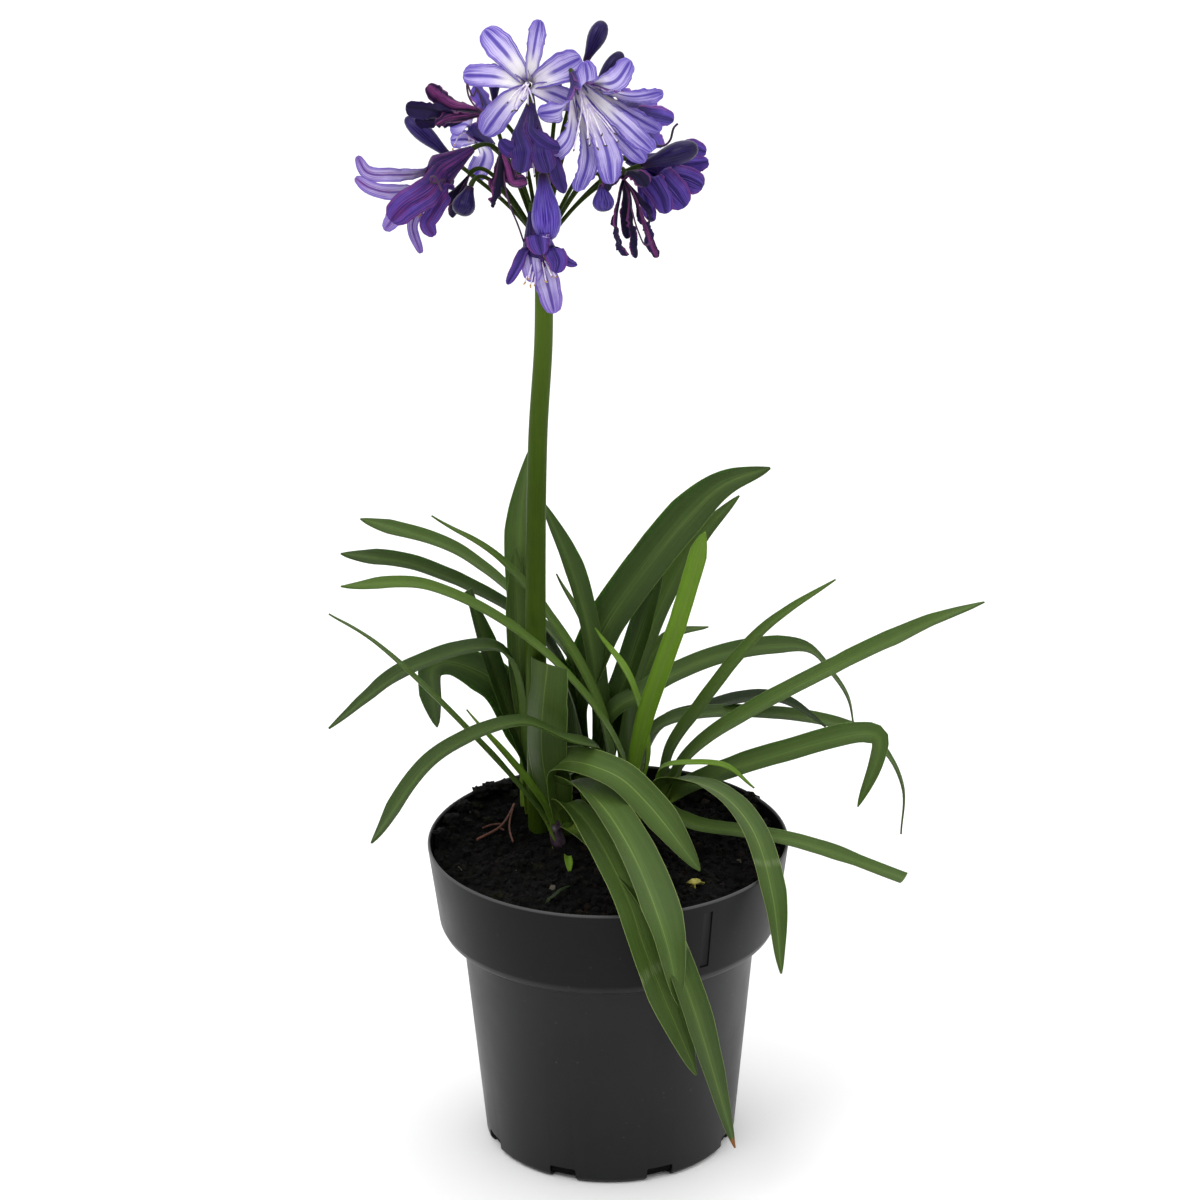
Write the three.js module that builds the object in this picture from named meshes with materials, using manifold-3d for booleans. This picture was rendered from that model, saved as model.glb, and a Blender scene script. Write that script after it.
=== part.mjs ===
// Agapanthus in a nursery pot: pot, soil, seven shoots of strap leaves, one scape with its umbel.
// Millimetres, +Z up. The origin is the centre of the pot's underside.
import * as THREE from 'three';
import { mergeVertices } from 'three/addons/utils/BufferGeometryUtils.js';
import Module from 'manifold-3d';

const wasm = await Module();
wasm.setup();

// Driving dimensions
const pot = {
  height: 176, rimRadius: 98, collarDepth: 45, collarFootRadius: 92.3,
  bodyTopRadius: 80, bodyTopHeight: 122, footRadius: 69, wall: 1.6, floor: 2.4, sides: 52,
  drains: 8, drainWidth: 15, drainHeight: 8, drainReach: 14,
  grooveWidth: 5.5, grooveDepth: 0.8, grooveLength: 34, grooveAngle: -57.5,
};
const soilSize = { height: 163, heave: 2.2, rings: 4, sides: 40, clearance: 0.3 };
const crown = { foot: 141, shoulder: 169, top: 182, sides: 10, leafStart: 168, clearance: 0.3 };
const leafSize = {
  midThickness: 1, edgeThickness: 0.75, fold: 0.15, stepLength: 27, lastStep: 0.4,
  twistEnd: 0.95, narrowing: 0.1,
  footShare: 0.72, footReach: 0.35, footShift: 0.35, footLimit: 1.3,
  tipReach: 0.22, tipPower: 0.6, tipShare: 0.09,
};
const scape = {
  path: [
    [-38, 41, 142], [-38, 41, 168], [-38, 35, 290], [-35.2, 30, 395], [-31.4, 27, 450], [-30.5, 25, 499],
  ],
  footRadius: 6.2, topRadius: 4.7, sides: 12, steps: 8, clearance: 0.7,
};
const umbel = {
  centre: [-31, 25, 501], radius: 6.5, rings: 6, pedicelRadius: 1.15, sides: 5, steps: 5, gap: 0.3,
  lift: 0.5, startPull: 0.42, endPull: 0.3, leastPull: 12,
};
const bloom = {
  stations: [0, 0.36, 0.48, 0.62, 0.78, 0.92, 1], throat: 1,
  outline: [1, 1, 0.74, 0.93, 1, 0.7, 0.17],
  flare: 12, opensFrom: 0.28, crowding: 0.94, thickness: 0.7, footRadius: 1.8, floor: 1.2,
};
const bud = {
  sides: 8,
  profile: [[0, 0], [0.3, 0.01], [0.5, 0.18], [0.82, 0.4], [1, 0.62], [0.82, 0.8], [0.42, 0.94], [0, 1]],
};
const colours = {
  pot: 0x2b2b2d, soil: 0x191613, leaf: 0x43662f, scape: 0x46602c,
  open: 0xa596d8, bell: 0x4a3f92, bud: 0x25214a, faded: 0x5b3563,
};

const root = new THREE.Group();
const zAxis = new THREE.Vector3(0, 0, 1);

function addPart(name, geometry, colour, roughness) {
  const material = new THREE.MeshStandardMaterial({ color: colour, roughness, metalness: 0 });
  const mesh = new THREE.Mesh(geometry, material);
  mesh.name = name;
  root.add(mesh);
  return mesh;
}

function vector([x, y, z]) {
  return new THREE.Vector3(x, y, z);
}

function meshFrom(points, faces) {
  const geometry = new THREE.BufferGeometry();
  geometry.setAttribute('position', new THREE.Float32BufferAttribute(points.flat(), 3));
  geometry.setIndex(faces.flat());
  return geometry;
}

// Closed three.js geometry to a Manifold solid and back
function solidOf(geometry) {
  geometry.deleteAttribute('normal');
  geometry.deleteAttribute('uv');
  const merged = mergeVertices(geometry, 1e-4);
  const vertProperties = new Float32Array(merged.attributes.position.array);
  const triVerts = new Uint32Array(merged.index.array);
  return new wasm.Manifold(new wasm.Mesh({ numProp: 3, vertProperties, triVerts }));
}

function geometryOf(solid) {
  const mesh = solid.getMesh();
  const geometry = new THREE.BufferGeometry();
  geometry.setAttribute('position', new THREE.BufferAttribute(new Float32Array(mesh.vertProperties), 3));
  geometry.setIndex([...mesh.triVerts]);
  return geometry;
}

// One body: hollows that the joining seals are filled, and scraps are dropped
function joined(geometries) {
  const bodies = geometries.map(solidOf).reduce((whole, next) => whole.add(next)).decompose();
  return geometryOf(bodies.sort((one, other) => other.volume() - one.volume())[0]);
}

function cut(geometry, tools) {
  const whole = tools.map(solidOf).reduce((rest, tool) => rest.subtract(tool), solidOf(geometry));
  return geometryOf(whole);
}

// A lathe about +Z from [radius, height] pairs that start and end on the axis, going up the outside
function turned(profile, sides) {
  const points = profile.map(([radius, height]) => new THREE.Vector2(radius, height));
  return new THREE.LatheGeometry(points, sides).rotateX(Math.PI / 2);
}

// Closed skin over rings of points that turn the same way about the path. end lists the triangles of
// the last ring, and sides in mirrored are split along their other diagonal.
function skinned(rings, end, mirrored = []) {
  const size = rings[0].length;
  const faces = [];
  for (let row = 0; row + 1 < rings.length; row += 1) {
    for (let side = 0; side < size; side += 1) {
      const a = row * size + side;
      const b = row * size + (side + 1) % size;
      const c = b + size;
      const d = a + size;
      faces.push(...(mirrored.includes(side) ? [[a, b, d], [b, c, d]] : [[a, b, c], [a, c, d]]));
    }
  }
  const last = (rings.length - 1) * size;
  for (const [a, b, c] of end) {
    faces.push([a, c, b], [last + a, last + b, last + c]);
  }
  return meshFrom(rings.flat(), faces);
}

// A round stem along a curve, radiusAt(u) thick at u of its length
function stem(curve, radiusAt, sides, steps) {
  const frames = curve.computeFrenetFrames(steps);
  const rings = frames.tangents.map((_, step) => {
    const centre = curve.getPointAt(step / steps);
    const radius = radiusAt(step / steps);
    return Array.from({ length: sides }, (_unused, side) => {
      const angle = 2 * Math.PI * side / sides;
      const point = centre.clone().addScaledVector(frames.normals[step], radius * Math.cos(angle));
      return point.addScaledVector(frames.binormals[step], radius * Math.sin(angle)).toArray();
    });
  });
  const end = Array.from({ length: sides - 2 }, (_, side) => [0, side + 1, side + 2]);
  return skinned(rings, end);
}

// Shoots. Each leaf runs from the crown through its points to its tip, and turn rolls the blade about
// its own length. Rows may also give blunt, the share of the width kept at a trimmed tip; tip, the share
// of the length that closes to the tip; foot, the share of the width at the crown; step, the length of
// one step along the blade; twist, [share of the length, degrees] rolled on past there; and narrow,
// [share of the length, share of the width kept past there].
const shoots = {
  shoot_front: {
    place: [-25, 31], radius: 9, leaves: [
      {
        via: [[-30, 25, 190], [-34, 24.5, 217.5], [-31, 21.5, 269]],
        width: 26, turn: 5, blunt: 0.92, foot: 0.6,
      },
      { via: [[-27, 19, 212], [3, 2, 213], [22, -10, 200], [49, -34, 171]], width: 19, turn: -25 },
      {
        via: [[-26, 25, 197], [-12, 7, 203], [9, -42, 197], [29.5, -112, 172], [36, -121, 135]],
        width: 24, turn: 15,
      },
      {
        via: [[-24, 21, 187], [-11, -12, 191], [11, -94, 183], [19, -116, 166], [45, -114, 91]],
        width: 22, turn: 18,
      },
      {
        via: [[-14, 4, 177], [23, -95, 180], [41, -116, 141], [66, -97, 38]],
        width: 16.5, turn: 0, tip: 0.3,
      },
    ],
  },
  shoot_left: {
    place: [-31, 14], radius: 5, leaves: [
      { via: [[-40, 18, 188], [-122, 14, 284], [-148, 12, 303]], width: 8, turn: 5, tip: 0.35 },
      { via: [[-35, 20, 187], [-76, 23, 242]], width: 7.5, turn: 10, tip: 0.5 },
    ],
  },
  shoot_scape: {
    place: [-41, 57], radius: 8, leaves: [
      { via: [[-42, 57, 211], [-47, 62, 329], [-40, 66, 376]], width: 17, turn: 20 },
      { via: [[-42, 54, 208], [-47, 54, 251], [-49, 57, 323]], width: 13, turn: 65 },
      { via: [[-45, 55, 190], [-56, 42, 269], [-105, 28, 265.5], [-150, 8, 238]], width: 14, turn: 10 },
      {
        via: [
          [-41, 60, 200], [-47, 61, 215], [-61, 64, 241], [-88, 67, 252], [-96, 66, 249], [-97, 65, 236],
          [-94, 64, 214],
        ],
        width: 22, turn: 68, foot: 0.28, tip: 0.12, step: 13, narrow: [0.6, 0.7],
      },
      {
        via: [[-43, 52, 196], [-55.5, 54, 234], [-75, 60, 297]],
        width: 13, turn: 30, blunt: 0.5, foot: 0.5,
      },
    ],
  },
  shoot_back: {
    place: [-6, 68], radius: 9, leaves: [
      {
        via: [[-16, 72, 239], [-23, 73, 256.5], [-78, 79, 311], [-134, 82, 331]],
        width: 11, turn: 4, foot: 0.4, tip: 0.12, twist: [0.6, 24],
      },
      {
        via: [[-16, 67, 222], [-37, 71, 268], [-100, 75, 305], [-145, 76, 313]],
        width: 12.5, turn: 10, foot: 0.55, tip: 0.12, twist: [0.6, 15],
      },
      { via: [[-5, 61, 241], [-16, 59, 304], [-34, 58, 349]], width: 14, turn: 55 },
      { via: [[-8, 80, 256], [-27, 86, 296]], width: 9, turn: -5, tip: 0.4 },
      {
        via: [[-18, 69, 226], [-7, 71, 256], [3.5, 74, 276.5], [61.5, 88, 344], [91, 94, 354]],
        width: 24, turn: -40,
      },
      { via: [[4.5, 69, 223], [11, 70, 243], [24.5, 72, 284], [31, 72, 300]], width: 14, turn: -55, foot: 0.6 },
      {
        via: [
          [-3, 61, 213], [6, 59, 227.5], [20, 63, 234], [33, 70, 240], [62, 80, 248.5], [91, 88, 250.5],
          [113, 94, 246.5], [127, 96, 230], [136, 98, 214], [140, 100, 193],
        ],
        width: 14, turn: -25, foot: 0.5, narrow: [0.68, 0.5],
      },
    ],
  },
  shoot_middle: {
    place: [8, 46], radius: 9, leaves: [
      {
        via: [[8, 40, 206], [-33, 25, 274], [-95, 7, 320.5], [-140, -4, 325]],
        width: 9.5, turn: 22, foot: 1, tip: 0.12,
      },
      { via: [[-6, 49, 238], [-54, 43.5, 318.5], [-93, 40, 348]], width: 10, turn: 25, foot: 1, tip: 0.5 },
      {
        via: [[-3, 32, 212], [-23, 8, 231.5], [-46, 7, 241.5], [-92, -5, 226.5], [-127, -27, 186]],
        width: 12.5, turn: 5, tip: 0.12,
      },
      { via: [[19.5, 41, 221], [43, 35, 298], [53.5, 32, 340]], width: 13, turn: -60, tip: 0.1 },
      { via: [[22, 49, 201], [13, 47, 249], [-6, 45, 280]], width: 7.5, turn: 25 },
    ],
  },
  shoot_right: {
    place: [27, 57], radius: 9, leaves: [
      {
        via: [[35, 60, 201], [52, 62, 226.5], [69, 64, 250], [90.5, 66, 273.5], [126, 68, 298]],
        width: 10.5, turn: -25, tip: 0.45,
      },
      { via: [[47, 53, 203], [173, 34, 285], [204, 30, 299]], width: 14.5, turn: -20 },
      {
        via: [[43, 51, 182], [100, 47, 205], [141, 43, 217], [149, 42, 215], [148, 40, 202], [138, 38, 175]],
        width: 16, turn: -30, tip: 0.26, step: 14, twist: [0.72, -55], narrow: [0.66, 0.8],
      },
      {
        via: [[38, 25, 176], [51, 8, 178], [74, -3, 179.5], [103, -19, 180.5], [157, -50, 173]],
        width: 11.5, turn: -15, blunt: 0.8,
      },
      {
        via: [[32, 45, 188], [55, 20, 197], [77, -25, 193], [87, -60, 170], [91, -73, 129]],
        width: 16, turn: 8,
      },
      { via: [[29.5, 48, 195], [46.5, 42, 201], [65.5, 40, 199.5], [81, 40, 186]], width: 6, turn: -5 },
    ],
  },
  shoot_far: {
    place: [13, 79], radius: 8, leaves: [
      {
        via: [
          [11, 87, 206], [13, 91, 225], [19.5, 97, 243], [35.5, 107, 279], [54.5, 112, 309], [75, 117, 329.5],
        ],
        width: 14, turn: -25,
      },
      {
        via: [[14, 88, 190], [17, 95, 217], [26, 105, 239], [37, 110, 249.5], [58, 122, 249]],
        width: 8, turn: -25,
      },
      {
        via: [
          [30, 90, 202], [52, 96, 209], [73, 93, 217], [92, 87, 220.5], [105, 81, 218], [122, 73, 208],
        ],
        width: 13, turn: -10, tip: 0.3,
      },
      {
        via: [
          [27, 76, 207], [52, 83, 212.5], [92, 87, 210.5], [135, 90, 200.5], [155.5, 93, 185.5], [167.5, 95, 160],
          [167, 96, 131],
        ],
        width: 12, turn: -15, narrow: [0.7, 0.55],
      },
    ],
  },
};

// Florets: at is the top of the pedicel, toward the way the floret faces, and roll turns it about that
// way. spread is how far the tepals open from its axis in degrees, reach the length of a tepal with its
// share of the tube, and half the half width of a tepal.
const florets = {
  floret_top: {
    at: [-37, 20, 589], toward: [0, -0.93, 0.35],
    petals: 6, spread: 100, reach: 48, half: 5.8, colour: 'open',
  },
  floret_front: {
    at: [-14, 8, 597], toward: [0.3, -0.85, -0.42], roll: -10,
    petals: 8, spread: 92, reach: 50, half: 5.6, colour: 'open',
  },
  floret_right: {
    at: [13, 30, 547], toward: [0.9, 0.1, -0.3],
    petals: 6, spread: 78, reach: 46, half: 5.6, colour: 'open',
  },
  floret_left: {
    at: [-66, 8, 559], toward: [-0.82, -0.22, -0.5],
    petals: 6, spread: 72, reach: 52, half: 4.6, colour: 'open',
  },
  floret_behind: {
    at: [-57, 50, 549], toward: [-0.6, 0.6, 0.35],
    petals: 6, spread: 95, reach: 42, half: 5.4, colour: 'open',
  },
  floret_rear: {
    at: [10, 58, 560], toward: [0.5, 0.8, 0.3],
    petals: 6, spread: 95, reach: 44, half: 5.4, colour: 'open',
  },
  floret_centre: {
    at: [-36, -1, 584], toward: [-0.06, -0.7, -0.71],
    petals: 6, spread: 40, reach: 34, half: 4.4, colour: 'bell',
  },
  floret_low: {
    at: [-36, 2, 527], toward: [0.16, -0.34, -0.9],
    petals: 6, spread: 42, reach: 44, half: 4, colour: 'bell',
  },
  faded_left: {
    at: [-58, 14, 576], toward: [-1, -0.05, 0.1],
    petals: 4, spread: 38, reach: 42, half: 3.6, colour: 'faded',
  },
  faded_centre: {
    at: [-51, 0, 559], toward: [-0.15, -0.25, -0.95],
    petals: 3, spread: 30, reach: 27, half: 2.6, colour: 'faded',
  },
  faded_right: {
    at: [11, 2, 544], toward: [0.12, -0.1, -1],
    petals: 5, spread: 30, reach: 42, half: 1.3, colour: 'faded',
  },
  faded_low: {
    at: [-68, 12, 544], toward: [-0.4, 0.12, -0.9],
    petals: 3, spread: 36, reach: 28, half: 2, colour: 'faded',
  },
};

const buds = {
  bud_top: { at: [-8, 30, 598], toward: [0.42, 0.18, 0.9], length: 23, radius: 4.9 },
  bud_upper: { at: [-4, 20, 585], toward: [0.6, 0.2, 0.78], length: 25, radius: 4.4 },
  bud_crown: { at: [-55, 36, 575], toward: [0, 0.3, 0.95], length: 21, radius: 3.7 },
  bud_left: { at: [-77, 26, 549], toward: [-0.74, 0.18, 0.64], length: 32, radius: 4.8 },
  bud_hanging: { at: [-67, 2, 541], toward: [-0.35, -0.4, -0.9], length: 16, radius: 6 },
  bud_large: { at: [-30, -2, 549], toward: [0.06, -0.28, -0.95], length: 35, radius: 7.6 },
  bud_round: { at: [0, -4, 543], toward: [0.05, -0.3, -0.95], length: 14, radius: 5.6 },
  bud_right: { at: [20, 6, 550], toward: [0.93, -0.12, 0.34], length: 31, radius: 6 },
};

// Pot: outside up from the middle of the base, over the lip and down the inside
function potGeometry() {
  const {
    height, rimRadius, collarDepth, collarFootRadius, bodyTopRadius, bodyTopHeight, footRadius, wall, floor,
  } = pot;
  const collarFoot = height - collarDepth;
  const profile = [
    [0, 0], [footRadius - 2.5, 0], [footRadius, 2.5], [bodyTopRadius, bodyTopHeight],
    [bodyTopRadius + 5.5, bodyTopHeight + 2], [collarFootRadius - 2, collarFoot - 4],
    [collarFootRadius, collarFoot], [rimRadius, height - 1.2], [rimRadius - 0.4, height - 0.2],
    [rimRadius - 1.1, height], [rimRadius - wall, height - 1], [collarFootRadius - wall, collarFoot + 0.6],
    [collarFootRadius - 3.4, collarFoot - 2.6], [bodyTopRadius + 5, bodyTopHeight + 4],
    [bodyTopRadius - wall, bodyTopHeight + 1.6], [footRadius - wall + 0.1, floor], [0, floor],
  ];
  const tools = [];
  for (let index = 0; index < pot.drains; index += 1) {
    const drain = new THREE.BoxGeometry(pot.drainReach, pot.drainWidth, pot.drainHeight * 2);
    drain.translate(footRadius, 0, 0).rotateZ(2 * Math.PI * (index + 0.5) / pot.drains);
    tools.push(drain);
  }
  const lean = Math.atan((rimRadius - collarFootRadius) / collarDepth);
  const groove = new THREE.BoxGeometry(2 * pot.grooveDepth, pot.grooveWidth, pot.grooveLength);
  groove.rotateY(lean).translate((rimRadius + collarFootRadius) / 2, 0, height - collarDepth / 2);
  tools.push(groove.rotateZ(THREE.MathUtils.degToRad(pot.grooveAngle)));
  return cut(turned(profile, pot.sides), tools);
}

// Soil: fills the pot, with a gently heaved top and a plain round hole for each stem that stands in it
function soilGeometry() {
  const { height, heave, rings, sides, clearance } = soilSize;
  const inside = pot.wall + clearance;
  const collarFoot = pot.height - pot.collarDepth;
  const slope = (pot.rimRadius - pot.collarFootRadius) / pot.collarDepth;
  const topRadius = pot.collarFootRadius - inside + (height - collarFoot) * slope;
  const profile = [
    [0, pot.floor + clearance], [pot.footRadius - inside - 0.4, pot.floor + clearance],
    [pot.bodyTopRadius - inside - 0.3, pot.bodyTopHeight + 2.2],
    [pot.bodyTopRadius + 3.5, pot.bodyTopHeight + 5],
    [pot.collarFootRadius - 4.6, collarFoot - 1.6], [pot.collarFootRadius - inside - 0.3, collarFoot + 1],
  ];
  for (let ring = rings; ring >= 0; ring -= 1) {
    profile.push([(topRadius - 0.3) * ring / rings, height]);
  }
  const soil = turned(profile, sides);
  const position = soil.attributes.position;
  for (let index = 0; index < position.count; index += 1) {
    const [x, y, z] = [position.getX(index), position.getY(index), position.getZ(index)];
    const swell = Math.sin(x / 17 + 1.2) * Math.cos(y / 21 - 0.6) + 0.4 * Math.sin(x / 9 - y / 11);
    if (z > height - 0.01) {
      position.setZ(index, height + heave * swell / 1.4);
    }
  }
  const holes = Object.values(shoots).map((shoot) => {
    return [shoot.place, shoot.radius + crown.clearance, crown.sides];
  });
  holes.push([scape.path[0], scape.footRadius + scape.clearance, 2 * crown.sides]);
  const tools = holes.map(([[x, y], radius, holeSides]) => {
    const depth = height + 10 - crown.foot;
    const hole = new THREE.CylinderGeometry(radius, radius, depth, holeSides).rotateX(Math.PI / 2);
    return hole.translate(x, y, crown.foot - crown.clearance + depth / 2);
  });
  return cut(soil, tools);
}

// Crown: the short thick stem that a shoot's leaves spring from
function crownGeometry([x, y], radius) {
  const { foot, shoulder, top } = crown;
  const profile = [
    [0, foot], [0.8 * radius, foot], [radius, foot + 7], [radius, shoulder],
    [0.8 * radius, shoulder + 6], [0.45 * radius, top - 1.5], [0, top],
  ];
  return turned(profile, crown.sides).translate(x, y, 0);
}

// Leaf: a strap with a V section. Each ring is the upper face's edge, crease and edge, then the
// lower face's edge, keel and edge.
function leafGeometry(leaf, place, crownRadius) {
  const { via, width, turn, blunt = leafSize.tipShare, tip = leafSize.tipReach } = leaf;
  const { twist = [0, 0], narrow = [0, 1], step: stepLength = leafSize.stepLength } = leaf;
  const foot = vector([...place, crown.leafStart]);
  foot.add(vector(via[0]).sub(foot).setZ(0).setLength(leafSize.footShift * crownRadius));
  const curve = new THREE.CatmullRomCurve3([foot, ...via.map(vector)]);
  const heading = vector(via.at(-1)).sub(foot).setZ(0);
  const across = heading.cross(zAxis);
  const steps = Math.round(curve.getLength() / stepLength);
  const shares = Array.from({ length: steps }, (_, step) => step / steps);
  shares.push(1 - leafSize.lastStep / steps, 1);
  const footShare = Math.min(leaf.foot ?? leafSize.footShare, leafSize.footLimit * crownRadius / width);
  const rings = [];
  for (const u of shares) {
    const opened = footShare + (1 - footShare) * Math.min(u / leafSize.footReach, 1);
    const closed = Math.max(Math.min((1 - u) / tip, 1) ** leafSize.tipPower, blunt);
    const kept = THREE.MathUtils.mapLinear(u, narrow[0], narrow[0] + leafSize.narrowing, 1, narrow[1]);
    const half = 0.5 * width * opened * closed * THREE.MathUtils.clamp(kept, narrow[1], 1);
    const twisted = THREE.MathUtils.clamp((u - twist[0]) / (leafSize.twistEnd - twist[0]), 0, 1);
    const roll = THREE.MathUtils.degToRad(turn + twist[1] * twisted);
    const lift = leafSize.fold * half;
    const tangent = curve.getTangentAt(u);
    const level = across.clone().projectOnPlane(tangent).normalize();
    const side = level.applyAxisAngle(tangent, -roll);
    const normal = side.clone().cross(tangent);
    const middle = curve.getPointAt(u);
    const at = (sideways, above) => {
      return middle.clone().addScaledVector(side, sideways).addScaledVector(normal, above).toArray();
    };
    const edge = leafSize.edgeThickness / 2;
    const core = leafSize.midThickness / 2;
    rings.push([
      at(-half, lift + edge), at(0, core - lift), at(half, lift + edge),
      at(half, lift - edge), at(0, -core - lift), at(-half, lift - edge),
    ]);
  }
  return skinned(rings, [[0, 1, 4], [0, 4, 5], [1, 2, 3], [1, 3, 4]], [3, 4]);
}

// Floret: a tube of joined tepals that part at the throat and spread, about +Z with its foot at the
// origin. Both faces share their layout, and rims close the free edges.
function floretGeometry({ petals, spread, reach, half }) {
  const { stations, throat, outline, flare, thickness, footRadius, floor, opensFrom, crowding } = bloom;
  const [closedAngle, openAngle] = [flare, spread].map(THREE.MathUtils.degToRad);
  const profile = stations.map(() => ({}));
  const fine = 50;
  let [radius, height] = [footRadius, 0];
  for (let step = 0; step <= fine; step += 1) {
    const s = step / fine;
    const angle = closedAngle + (openAngle - closedAngle) * THREE.MathUtils.smoothstep(s, opensFrom, 1);
    const row = stations.findIndex((station) => Math.abs(station - s) < 0.5 / fine);
    if (row >= 0) {
      profile[row] = { radius, height, angle };
    }
    radius += reach / fine * Math.sin(angle);
    height += reach / fine * Math.cos(angle);
  }
  const points = [];
  const places = new Map();
  const pitch = 2 * Math.PI / petals;
  for (const layer of [1, -1]) {
    profile.forEach((row, rowIndex) => {
      for (let petal = 0; petal < petals; petal += 1) {
        for (const column of [-1, 0, 1]) {
          const isShared = rowIndex <= throat && column === 1;
          const key = [layer, rowIndex, petal, column].join();
          if (isShared) {
            places.set(key, [layer, rowIndex, (petal + 1) % petals, -1].join());
            continue;
          }
          const free = Math.asin(Math.min(half * outline[rowIndex] / row.radius, 1));
          const reachAcross = rowIndex <= throat ? pitch / 2 : Math.min(free, crowding * pitch / 2);
          const turn = petal * pitch + column * reachAcross;
          const offset = layer * thickness / 2;
          const out = row.radius + offset * Math.cos(row.angle);
          const isFloor = layer < 0 && rowIndex === 0;
          const along = isFloor ? floor : row.height - offset * Math.sin(row.angle);
          places.set(key, points.length);
          points.push([out * Math.cos(turn), out * Math.sin(turn), along]);
        }
      }
    });
  }
  const at = (layer, row, petal, column) => {
    const found = places.get([layer, row, petal, column].join());
    return typeof found === 'string' ? places.get(found) : found;
  };
  const [foot, inner] = [points.length, points.length + 1];
  points.push([0, 0, 0], [0, 0, floor]);
  const faces = [];
  const quad = (a, b, c, d) => faces.push([a, b, c], [a, c, d]);
  const last = profile.length - 1;
  for (let petal = 0; petal < petals; petal += 1) {
    for (const column of [-1, 0]) {
      faces.push([foot, at(1, 0, petal, column + 1), at(1, 0, petal, column)]);
      faces.push([inner, at(-1, 0, petal, column), at(-1, 0, petal, column + 1)]);
      for (let row = 0; row < last; row += 1) {
        const corners = [[row, column], [row, column + 1], [row + 1, column + 1], [row + 1, column]];
        const [a, b, c, d] = corners.map(([r, k]) => at(1, r, petal, k));
        const [e, f, g, h] = corners.map(([r, k]) => at(-1, r, petal, k));
        quad(a, b, c, d);
        faces.push([e, g, f], [e, h, g]);
      }
      quad(at(1, last, petal, column), at(1, last, petal, column + 1),
        at(-1, last, petal, column + 1), at(-1, last, petal, column));
    }
    for (let row = throat; row < last; row += 1) {
      for (const edge of [1, -1]) {
        quad(at(edge, row, petal, edge), at(-edge, row, petal, edge),
          at(-edge, row + 1, petal, edge), at(edge, row + 1, petal, edge));
      }
    }
  }
  return meshFrom(points, faces);
}

function budGeometry({ length, radius }) {
  const profile = bud.profile.map(([share, along]) => [share * radius, along * length]);
  return turned(profile, bud.sides);
}

// Flower stem: the scape, the knob at its top and a pedicel to each floret and bud
function scapeGeometry() {
  const curve = new THREE.CatmullRomCurve3(scape.path.map(vector));
  const radiusAt = (u) => THREE.MathUtils.lerp(scape.footRadius, scape.topRadius, u);
  const centre = vector(umbel.centre);
  const knob = new THREE.SphereGeometry(umbel.radius, scape.sides, umbel.rings);
  knob.rotateX(Math.PI / 2).translate(...umbel.centre);
  const pieces = [stem(curve, radiusAt, scape.sides, scape.steps), knob];
  for (const { at, toward } of [...Object.values(florets), ...Object.values(buds)]) {
    const facing = vector(toward).normalize();
    const end = vector(at).addScaledVector(facing, -umbel.gap);
    const span = end.distanceTo(centre);
    const rise = end.clone().sub(centre).addScaledVector(zAxis, umbel.lift * span);
    const after = rise.setLength(umbel.startPull * span).add(centre);
    const before = end.clone().addScaledVector(facing, -Math.max(umbel.endPull * span, umbel.leastPull));
    const path = new THREE.CubicBezierCurve3(centre, after, before, end);
    pieces.push(stem(path, () => umbel.pedicelRadius, umbel.sides, umbel.steps));
  }
  return joined(pieces);
}

function placeOnPedicel(mesh, { at, toward, roll = 0 }) {
  mesh.position.set(...at);
  mesh.quaternion.setFromUnitVectors(zAxis, vector(toward).normalize());
  mesh.rotateZ(THREE.MathUtils.degToRad(roll));
}

addPart('pot', potGeometry(), colours.pot, 0.5);
addPart('soil', soilGeometry(), colours.soil, 0.95);
for (const [name, { place, radius, leaves }] of Object.entries(shoots)) {
  const blades = leaves.map((leaf) => leafGeometry(leaf, place, radius));
  addPart(name, joined([crownGeometry(place, radius), ...blades]), colours.leaf, 0.5);
}
addPart('scape', scapeGeometry(), colours.scape, 0.5);
for (const [name, floret] of Object.entries(florets)) {
  placeOnPedicel(addPart(name, floretGeometry(floret), colours[floret.colour], 0.5), floret);
}
for (const [name, one] of Object.entries(buds)) {
  placeOnPedicel(addPart(name, budGeometry(one), colours.bud, 0.5), one);
}

export default root;
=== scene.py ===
import math

import bmesh
import bpy
import numpy as np
from mathutils import Matrix, Vector, noise


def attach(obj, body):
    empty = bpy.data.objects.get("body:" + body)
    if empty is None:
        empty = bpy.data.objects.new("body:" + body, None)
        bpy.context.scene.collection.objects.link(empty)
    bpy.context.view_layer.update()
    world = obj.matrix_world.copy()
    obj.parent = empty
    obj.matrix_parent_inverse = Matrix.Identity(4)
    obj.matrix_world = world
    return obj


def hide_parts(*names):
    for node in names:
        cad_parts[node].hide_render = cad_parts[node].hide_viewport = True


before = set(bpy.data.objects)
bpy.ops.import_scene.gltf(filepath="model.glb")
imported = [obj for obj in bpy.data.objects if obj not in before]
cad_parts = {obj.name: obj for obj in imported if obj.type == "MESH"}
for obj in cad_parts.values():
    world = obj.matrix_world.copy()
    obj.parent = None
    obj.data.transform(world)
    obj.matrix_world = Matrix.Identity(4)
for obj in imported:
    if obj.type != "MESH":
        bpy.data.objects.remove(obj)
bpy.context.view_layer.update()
mm = 0.001
up = np.array([0.0, 0.0, 1.0])


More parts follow.
